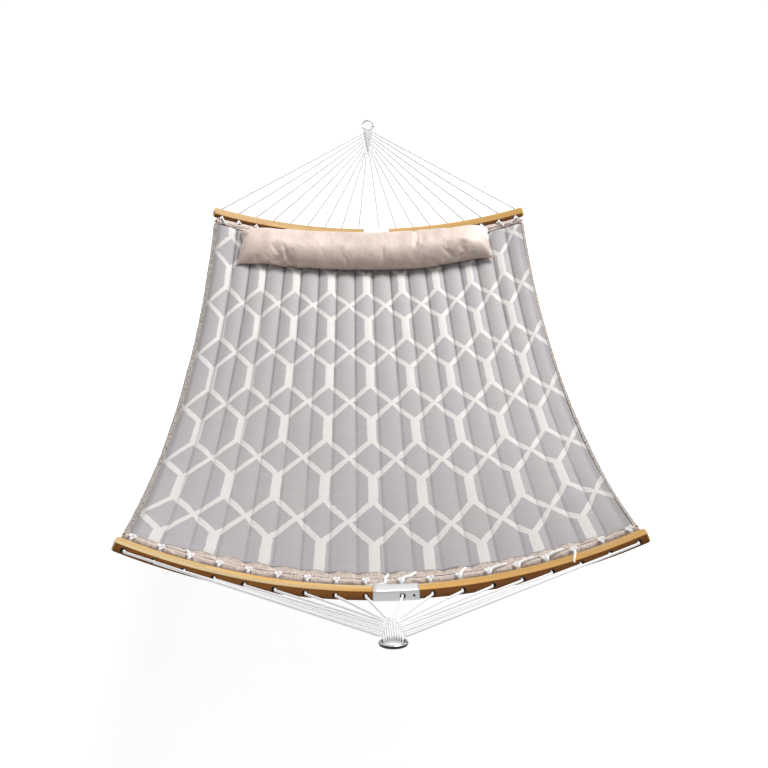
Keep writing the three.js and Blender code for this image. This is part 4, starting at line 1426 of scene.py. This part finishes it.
def quilt_sway(across, share):
    """Slow rise and fall of the whole quilt, which dies out at its ends."""
    w = share * quilt_end(0.0)[1]
    return ripples(across / 0.31 + 5, w / 0.24 + 9, 21) * QUILT_SWAY_HEIGHT * (1 - share ** 4)


def stuffed_quilt():
    """Closed skin of the quilt: a finely crowned top, and an underside with half as many columns."""
    shape = Shape()
    columns = CHANNELS * SEGMENTS
    edge = 1 - 1e-9
    shares = np.linspace(-1, 1, QUILT_ROWS + 1)
    grids = []
    for top, step in ((True, 1), (False, 2)):
        channels = np.linspace(0, CHANNELS, columns + 1)[::step]
        across = np.interp(channels, np.arange(CHANNELS + 1), seam_places()) * edge
        u, s = np.meshgrid(across, shares)
        height = quilt_heights(u, s, top)
        w = s * quilt_end(0.0)[1]
        base = hung_quilt(u, s)
        lift = (height if top else -height) + quilt_sway(u, s)
        points = base + quilt_normal(u, s) * lift[..., None]
        places = np.stack([u, w, 0 * u + (channels if top else -1)], axis=-1)
        grids.append(np.array(shape.add(points, places)).reshape(u.shape))
    top, under = grids
    for j in range(QUILT_ROWS):
        for k in range(columns):
            shape.faces.append((top[j, k], top[j, k + 1], top[j + 1, k + 1], top[j + 1, k]))
        for k in range(columns // 2):
            shape.faces.append((under[j, k], under[j + 1, k], under[j + 1, k + 1], under[j, k + 1]))
        shape.faces.append((under[j, 0], top[j, 0], top[j + 1, 0], under[j + 1, 0]))
        shape.faces.append((under[j, -1], under[j + 1, -1], top[j + 1, -1], top[j, -1]))
    for k in range(columns // 2):
        first, last = 2 * k, QUILT_ROWS
        shape.faces.append((under[0, k], under[0, k + 1], *top[0, first:first + 3][::-1]))
        shape.faces.append((under[last, k + 1], under[last, k], *top[last, first:first + 3]))
    return shape


def cloth_uv(made):
    """UV map in metres, from the places of the points."""
    mesh = made.data
    corners = np.zeros(len(mesh.loops), int)
    mesh.loops.foreach_get("vertex_index", corners)
    layer = mesh.uv_layers.new(name="cloth")
    layer.data.foreach_set("uv", point_places(mesh)[corners, :2].ravel())
    return made


def edge_binding(side):
    """Tape folded round a side of the quilt, a little wavy where the stitches draw it in."""
    shape = Shape()
    count = 420
    shares = np.linspace(-1, 1, count)
    across = np.full(count, side * QUILT_SIDE)
    base = hung_quilt(across, shares)
    normal = quilt_normal(across, shares)
    w = shares * quilt_end(0.0)[1]
    pull = ripples(w / 0.017, 0 * w, 31 + side) * 0.0007 + ripples(w / 0.16, 0 * w, 33 + side) * 0.0010
    swell = 1 + pull / FOLD_RADIUS
    steps = []
    for depth in (1.0, 0.66, 0.33):
        inwards = FLAP_WIDTH[side] * depth
        flap = side * (QUILT_SIDE - inwards * (1 + 60 * pull))
        steps.append((-inwards * (1 + 60 * pull), quilt_heights(flap, shares, True) + 0.0007))
    for angle in np.linspace(118, 0, 8):
        turn = math.radians(angle)
        aside = SEAT_GAP + 0.005 + 0.0046 * math.cos(turn) * swell
        steps.append((aside, FOLD_RADIUS * math.sin(turn) * swell))
    lower = [(x, -up) for x, up in steps[-2::-1]]
    rows = []
    for x, up in steps + lower:
        point = base + normal * (up + 0 * w)[:, None]
        point[:, 0] += side * x
        rows.append(point)
    points = np.stack(rows, axis=1)
    places = np.zeros(points.shape)
    places[..., 0] = w[:, None]
    places[..., 1] = np.arange(len(rows))[None, :] * 0.0022
    index = np.array(shape.add(points, places)).reshape(count, len(rows))
    shape.patch(index, flip=side < 0)
    return shape


def stitch_tree():
    """Short arched stitches along chains of points, which carry the direction away from the cloth."""
    n, socket, chain = chain_tree(
        "Stitch rows", "Pitch", Pitch=0.0065, Stitch=sizes().stitch, Thickness=0.00042)
    half = socket("Stitch") * 0.5
    start = n.point(0 - half, 0.0, -0.0002)
    end = n.point(half, 0.0, -0.0002)
    middle = n.point(0.0, 0.0, 0.0011)
    arch = n.add(
        "GeometryNodeCurveQuadraticBezier", None,
        {"Resolution": 3, "Start": start, "Middle": middle, "End": end})
    rim = n.add(
        "GeometryNodeCurvePrimitiveCircle", {"mode": "RADIUS"},
        {"Resolution": 5, "Radius": socket("Thickness")})
    one = n.add(
        "GeometryNodeCurveToMesh", None, {"Curve": arch, "Profile Curve": rim, "Fill Caps": True})
    tangent = n.add("GeometryNodeInputTangent")
    away = n.add(
        "GeometryNodeInputNamedAttribute", {"data_type": "FLOAT_VECTOR"}, {"Name": "away"}, "Attribute")
    turn = n.add("FunctionNodeAlignRotationToVector", {"axis": "X"}, {"Vector": tangent})
    turn = n.add(
        "FunctionNodeAlignRotationToVector", {"axis": "Z", "pivot_axis": "X"},
        {"Rotation": turn, "Vector": away})
    placed = n.add(
        "GeometryNodeInstanceOnPoints", None, {"Points": chain, "Instance": one, "Rotation": turn})
    return finished_tree(n, placed, socket("Material"))


def quilt_seams(top=True):
    """Chains along the seams between channels, just above the cloth."""
    chains = []
    shares = np.linspace(-0.985, 0.985, 160)
    for channel in range(1, CHANNELS):
        across = np.full(shares.shape, seam_places()[channel])
        normal = quilt_normal(across, shares)
        height = quilt_heights(across + 1e-6, shares, top)
        lift = (height if top else -height) + quilt_sway(across, shares)
        points = hung_quilt(across, shares) + normal * lift[:, None]
        chains.append((points, normal if top else -normal))
    return chains


# Pillow

def pillow_bag():
    """Two panels of satin sewn together round their edges, laid almost flat."""
    steps, rows = 156, 40
    mesh = bmesh.new()
    waves = ripples(*np.meshgrid(np.arange(steps + 1) / 6, np.arange(rows + 1) / 4, indexing="ij"), 61)
    grid = {}
    for layer in (1, -1):
        for i in range(steps + 1):
            for k in range(rows + 1):
                border = i in (0, steps) or k in (0, rows)
                if border and layer < 0:
                    grid[layer, i, k] = grid[1, i, k]
                    continue
                x, y = (i / steps - 0.5) * BAG_LENGTH, (k / rows - 0.5) * BAG_WIDTH
                edge = min(i, steps - i, k, rows - k) / 6
                z = layer * 0.012 * min(1.0, edge) ** 0.7
                wave = 0 if border else 0.0016 * waves[i, k]
                grid[layer, i, k] = mesh.verts.new((x, y, z + wave))
        for i in range(steps):
            for k in range(rows):
                places = ((i, k), (i + 1, k), (i + 1, k + 1), (i, k + 1))
                corners = [grid[layer, a, b] for a, b in places]
                mesh.faces.new(corners if layer > 0 else corners[::-1])
    data = bpy.data.meshes.new("pillow_bag")
    mesh.to_mesh(data)
    mesh.free()
    return link("stuffed_pillow", data)


def blow_up(made):
    """Fills the bag by pressure, as its stuffing does."""
    cloth = made.modifiers.new("Stuffing", "CLOTH")
    given = {
        "quality": 6, "mass": 0.2, "tension_stiffness": 12, "compression_stiffness": 12,
        "shear_stiffness": 5, "bending_stiffness": 0.15, "use_pressure": True,
        "uniform_pressure_force": 5, "air_damping": 3,
    }
    for name, value in given.items():
        setattr(cloth.settings, name, value)
    cloth.settings.effector_weights.gravity = 0
    cloth.point_cache.frame_start = 1
    cloth.point_cache.frame_end = STUFFING_FRAMES
    scene = bpy.context.scene
    for step in range(1, STUFFING_FRAMES + 1):
        scene.frame_set(step)
    settled(made)
    scene.frame_set(1)


def envelope(x, value, half, count=70):
    """Largest value near each place along the pillow, smoothed."""
    marks = np.linspace(-half, half, count)
    reach = 1.6 * half / count
    largest = np.array([value[np.abs(x - mark) < reach].max() for mark in marks])
    padded = np.pad(largest, 3, mode="edge")
    smooth = np.convolve(padded, np.ones(7) / 7, mode="valid")
    return np.interp(x, marks, smooth)


def crease(x, y, middle, lean, bow, width, low, high):
    """Depth of a crease across the pillow, from 0 to 1, from low to high across it."""
    line = middle + lean * y + bow * (y - 0.1) ** 2
    window = smooth_step(low, low + 0.25, y) * (1 - smooth_step(high - 0.25, high, y))
    return np.exp(-((x - line) / width) ** 2) * window


def lay_pillow(points):
    """Places of the pillow's points on the quilt, filled out to its size and flattened where it rests, and
    each point's share of the way along, across and up."""
    low, high = points.min(axis=0), points.max(axis=0)
    x, y, z = (points - (low + high) / 2).T
    half = (high - low)[0] / 2
    share = x / half
    fullness = np.sqrt(np.clip(1 - np.abs(share) ** 5, 0, 1))
    depth = PILLOW_DEPTH - 0.012 * fullness
    height = LEAST_PILLOW_HEIGHT + (PILLOW_HEIGHT - LEAST_PILLOW_HEIGHT) * fullness
    y_share = y / envelope(x, np.abs(y), half)
    top = np.maximum(envelope(x, z, half), LEAST_PILLOW_HEIGHT)
    z_share = np.clip(z / top, -1.15, 1.15)
    along = share * PILLOW_LENGTH / 2
    creases = (
        (1.00, 0.228, 0.0, -0.030, 0.0060, -0.62, 0.95),
        (0.50, 0.248, -0.012, -0.020, 0.013, -0.5, 0.5),
        (0.70, 0.085, 0.035, 0.02, 0.0050, -1.05, -0.45),
        (0.70, -0.385, -0.03, 0.02, 0.0050, -1.05, -0.45),
        (0.14, -0.10, 0.05, 0.0, 0.018, -0.2, 0.9),
        (0.12, -0.27, -0.04, 0.02, 0.016, -0.3, 0.8))
    dents = sum(crease(along, y_share, *form) * depth_share for depth_share, *form in creases)
    below = 0.36 * np.maximum(0, 1 + z_share * 1.30)
    above = np.where(z_share > 0, 0.36 + 0.64 * z_share, below) * height
    above -= dents * PILLOW_CREASE_DEPTH * (z_share > 0)
    drawn_up = 0.030 * smooth_step(0.30, 1.0, share) * smooth_step(-0.6, 0.9, -y_share)
    drawn_down = 0.017 * smooth_step(0.10, 0.55, -share) * smooth_step(-0.5, 1.0, y_share)
    from_hem = PILLOW_FROM_HEM + PILLOW_DEPTH / 2 - y_share * depth / 2 - drawn_up + drawn_down
    x_placed = along + PILLOW_OFF_CENTRE
    placed = hung_quilt(x_placed, 1 - from_hem / quilt_end(0.0)[1])
    placed[:, 2] += PILLOW_REST_HEIGHT + above + PILLOW_END_LIFT * smooth_step(0.55, 1.0, share)
    return placed - RING_CENTRE, np.stack([share, y_share, z_share], axis=-1)


# Operators

class HammockOperator:
    bl_options = {"REGISTER", "UNDO"}


class HAMMOCK_OT_camera(HammockOperator, bpy.types.Operator):
    """Camera at the photograph's place, beyond the foot and above it"""

    bl_idname = "hammock.camera"
    bl_label = "Camera"

    def execute(self, context):
        yaw, pitch, roll = (math.radians(a) for a in CAMERA_TURNS)
        level = math.cos(pitch)
        ahead = Vector((math.sin(yaw) * level, math.cos(yaw) * level, -math.sin(pitch)))
        right = Vector((math.cos(yaw), -math.sin(yaw), 0))
        up = right.cross(ahead)
        across = right * math.cos(roll) + up * math.sin(roll)
        upright = up * math.cos(roll) - right * math.sin(roll)
        turn = Matrix((across, upright, -ahead)).transposed()
        data = bpy.data.cameras.new("camera")
        data.sensor_width = 36
        data.lens = CAMERA_LENS
        data.clip_end = 100
        made = link("camera", data)
        made.matrix_world = Matrix.Translation(CAMERA_PLACE) @ turn.to_4x4()
        context.scene.camera = made
        return {"FINISHED"}


class HAMMOCK_OT_bars(HammockOperator, bpy.types.Operator):
    """Bent halves of laminated bamboo with eased cord holes"""

    bl_idname = "hammock.bars"
    bl_label = "Bars"

    def execute(self, context):
        for end, way in ENDS:
            for side_name, side in (("left", -1), ("right", 1)):
                made = bar_half(side).object(f"{end}_half_{side_name}", way)
                piece(made, "laminated_bamboo", "hammock", "bamboo", f"{end}_bar_{side_name}")
        return {"FINISHED"}


class HAMMOCK_OT_sleeves(HammockOperator, bpy.types.Operator):
    """Aluminium sleeves over the halves, and their screws"""

    bl_idname = "hammock.sleeves"
    bl_label = "Sleeves"

    def execute(self, context):
        for end, way in ENDS:
            tube = bar_sleeve().object(f"{end}_sleeve_tube", way)
            piece(tube, "drawn_aluminium", "hammock", "sleeve", f"{end}_bar_sleeve")
            screw = sleeve_screw().object(f"{end}_cross_screw", way)
            piece(screw, "blackened_steel", "hammock", "screw", f"{end}_sleeve_screw")
        return {"FINISHED"}


class HAMMOCK_OT_rings(HammockOperator, bpy.types.Operator):
    """Welded steel rings"""

    bl_idname = "hammock.rings"
    bl_label = "Rings"

    def execute(self, context):
        for end, way in ENDS:
            made = steel_ring().object(f"{end}_welded_ring", way)
            piece(made, "polished_steel", f"{end}_ring", "ring", f"{end}_ring")
        return {"FINISHED"}


class HAMMOCK_OT_cords(HammockOperator, bpy.types.Operator):
    """Laid ropes from the rings through the bars to the rods"""

    bl_idname = "hammock.cords"
    bl_label = "Cords"

    def execute(self, context):
        tree = rope_tree()
        for end, way in ENDS:
            for number in range(HOLE_COUNT):
                made = chains_object(f"{end}_rope_{number + 1}", cord_chains(number, end), way)
                grow(made, tree, "laid_rope")
                piece(made, None, "hammock", "rope", f"{end}_cord_{number + 1}")
        return {"FINISHED"}


class HAMMOCK_OT_hems(HammockOperator, bpy.types.Operator):
    """Rods, and the cloth hems round them"""

    bl_idname = "hammock.hems"
    bl_label = "Hems"

    def execute(self, context):
        for end, way in ENDS:
            dowel = hem_rod().object(f"{end}_dowel", way)
            piece(dowel, "birch", "hammock", "rod", f"{end}_rod")
            made = hem_tube().object(f"{end}_hem_tube", way)
            thicken(made, HEM_CLOTH_THICKNESS)
            piece(made, "taupe_cloth", "hammock", "hem_cloth", f"{end}_hem")
            flat = (2 * math.pi * HEM_RADIUS + 2 * (FACING_DEPTH + FACING_SEAM), 2 * HEM_END)
        return {"FINISHED"}


class HAMMOCK_OT_quilt(HammockOperator, bpy.types.Operator):
    """Stuffed quilt with its printed top and plain underside"""

    bl_idname = "hammock.quilt"
    bl_label = "Quilt"

    def execute(self, context):
        made = cloth_uv(stuffed_quilt().object("stuffed_quilt"))
        made.data.materials.append(finish("printed_cloth"))
        made.data.materials.append(finish("underside_cloth"))
        upper = point_places(made.data)[:, 2] > -0.5
        for polygon in made.data.polygons:
            polygon.material_index = 0 if all(upper[v] for v in polygon.vertices) else 1
        piece(made, None, "hammock", "quilt_cloth", "quilt_top", "quilt_fill", "quilt_bottom")
        return {"FINISHED"}


class HAMMOCK_OT_bindings(HammockOperator, bpy.types.Operator):
    """Tapes folded round the sides of the quilt"""

    bl_idname = "hammock.bindings"
    bl_label = "Bindings"

    def execute(self, context):
        for side_name, side in (("left", -1), ("right", 1)):
            made = edge_binding(side).object(f"{side_name}_tape")
            thicken(made, TAPE_THICKNESS)
            piece(made, "taupe_tape", "hammock", "hem_cloth", f"{side_name}_binding")
        return {"FINISHED"}


class HAMMOCK_OT_stitches(HammockOperator, bpy.types.Operator):
    """Rows of stitches along the seams between the channels"""

    bl_idname = "hammock.stitches"
    bl_label = "Stitches"

    def execute(self, context):
        tree = stitch_tree()
        for name, top in (("top_stitches", True), ("under_stitches", False)):
            made = chains_object(name, quilt_seams(top), 1, ("away",))
            grow(made, tree, "sewing_thread")
            piece(made, None, "hammock", "quilt_cloth")
        return {"FINISHED"}


class HAMMOCK_OT_pillow(HammockOperator, bpy.types.Operator):
    """Long stuffed pillow that lies on the quilt along the head hem"""

    bl_idname = "hammock.pillow"
    bl_label = "Pillow"

    def execute(self, context):
        made = pillow_bag()
        blow_up(made)
        mesh = made.data
        points = np.zeros(len(mesh.vertices) * 3)
        mesh.vertices.foreach_get("co", points)
        placed, shares = lay_pillow(points.reshape(-1, 3))
        mesh.vertices.foreach_set("co", placed.ravel())
        keep_vectors(mesh, "place", shares)
        mesh.update()
        mesh.shade_smooth()
        smoother = made.modifiers.new("Smoother", "SUBSURF")
        smoother.levels = 1
        smoother.render_levels = 1
        piece(made, "taupe_satin", "pillow", "pillow_satin", "pillow")
        return {"FINISHED"}


class HAMMOCK_OT_stage(HammockOperator, bpy.types.Operator):
    """Pale floor, white surroundings and soft lamps"""

    bl_idname = "hammock.stage"
    bl_label = "Stage"

    def execute(self, context):
        scene = context.scene
        scene.view_settings.view_transform = "Standard"
        mesh = bpy.data.meshes.new("floor")
        signs = ((-1, -1), (1, -1), (1, 1), (-1, 1))
        corners = [(x * FLOOR_REACH, y * FLOOR_REACH, FLOOR_HEIGHT) for x, y in signs]
        mesh.from_pydata(corners, [], [(0, 1, 2, 3)])
        floor = link("floor", mesh)
        mesh.materials.append(self.floor_material())
        self.surroundings(scene)
        self.lamp("key", (1.6, 1.0, 3.7), 2.4, 235)
        fills = (("front", (-0.8, -5.6, -0.72), 1.1, 30), ("side", (3.4, -0.5, 0.9), 1.0, 34))
        for name, place, size, power in fills:
            self.lamp(name, place, size, power).visible_glossy = False
        return {"FINISHED"}

    @staticmethod
    def seen(n):
        """1 where the camera sees a surface, directly or in a reflection, and 0 for the light on it."""
        paths = n.add("ShaderNodeLightPath").output.node
        names = ("Is Camera Ray", "Is Glossy Ray", "Is Transmission Ray")
        rays = [Socket(n, paths.outputs[name]) for name in names]
        return (rays[0] + rays[1] + rays[2]).math("MINIMUM", 1.0)

    def floor_material(self):
        made = bpy.data.materials.new("pale_floor")
        made.use_nodes = True
        made.node_tree.nodes.clear()
        n = Nodes(made.node_tree)
        matt = n.add("ShaderNodeBsdfDiffuse", None, {"Color": (0.82, 0.82, 0.82, 1)})
        distance = n.add("ShaderNodeVectorMath", {"operation": "LENGTH"}, [n.place()], "Value")
        far = distance.step(4.0, 8.0)
        glow = n.add("ShaderNodeEmission", None, {"Color": (1, 1, 1, 1), "Strength": 0.63 + far * 0.14})
        both = n.add("ShaderNodeAddShader", None, [matt, glow])
        mixed = n.add("ShaderNodeMixShader", None, [self.seen(n), matt, both])
        result = made.node_tree.nodes.new("ShaderNodeOutputMaterial")
        made.node_tree.links.new(mixed.output, result.inputs["Surface"])
        return made

    def surroundings(self, scene):
        world = scene.world or bpy.data.worlds.new("surroundings")
        scene.world = world
        world.use_nodes = True
        world.node_tree.nodes.clear()
        n = Nodes(world.node_tree)
        strength = 0.34 + self.seen(n) * 0.66
        white = n.add("ShaderNodeBackground", None, {"Color": (1, 1, 1, 1), "Strength": strength})
        result = world.node_tree.nodes.new("ShaderNodeOutputWorld")
        world.node_tree.links.new(white.output, result.inputs["Surface"])

    @staticmethod
    def lamp(name, place, size, power):
        data = bpy.data.lights.new(name, "AREA")
        data.shape = "SQUARE"
        data.size = size
        data.energy = power
        made = link(name, data)
        made.location = place
        target = Vector((0, -RING_CENTRE[1], -RING_CENTRE[2]))
        made.rotation_euler = (target - Vector(place)).to_track_quat("-Z", "Y").to_euler()
        return made


OPERATORS = (
    HAMMOCK_OT_camera,
    HAMMOCK_OT_bars,
    HAMMOCK_OT_sleeves,
    HAMMOCK_OT_rings,
    HAMMOCK_OT_cords,
    HAMMOCK_OT_hems,
    HAMMOCK_OT_quilt,
    HAMMOCK_OT_bindings,
    HAMMOCK_OT_stitches,
    HAMMOCK_OT_pillow,
    HAMMOCK_OT_stage,
)


class HAMMOCK_PT_panel(bpy.types.Panel):
    """Pieces of the hammock, their sizes and their colours"""

    bl_idname = "HAMMOCK_PT_panel"
    bl_label = "Quilted hammock"
    bl_space_type = "VIEW_3D"
    bl_region_type = "UI"
    bl_category = "Hammock"

    def draw(self, context):
        for operator in OPERATORS:
            self.layout.operator(operator.bl_idname)
        for group in (context.scene.hammock_sizes, context.scene.hammock_colours):
            for name in group.__annotations__:
                self.layout.prop(group, name)


CLASSES = (HammockSizes, HammockColours, *OPERATORS, HAMMOCK_PT_panel)


def register():
    for item in CLASSES:
        bpy.utils.register_class(item)
    bpy.types.Scene.hammock_sizes = bpy.props.PointerProperty(type=HammockSizes)
    bpy.types.Scene.hammock_colours = bpy.props.PointerProperty(type=HammockColours)


def unregister():
    del bpy.types.Scene.hammock_colours
    del bpy.types.Scene.hammock_sizes
    for item in reversed(CLASSES):
        bpy.utils.unregister_class(item)


def main():
    register()
    for operator in OPERATORS:
        group, name = operator.bl_idname.split(".")
        getattr(getattr(bpy.ops, group), name)()


if __name__ == "__main__":
    main()
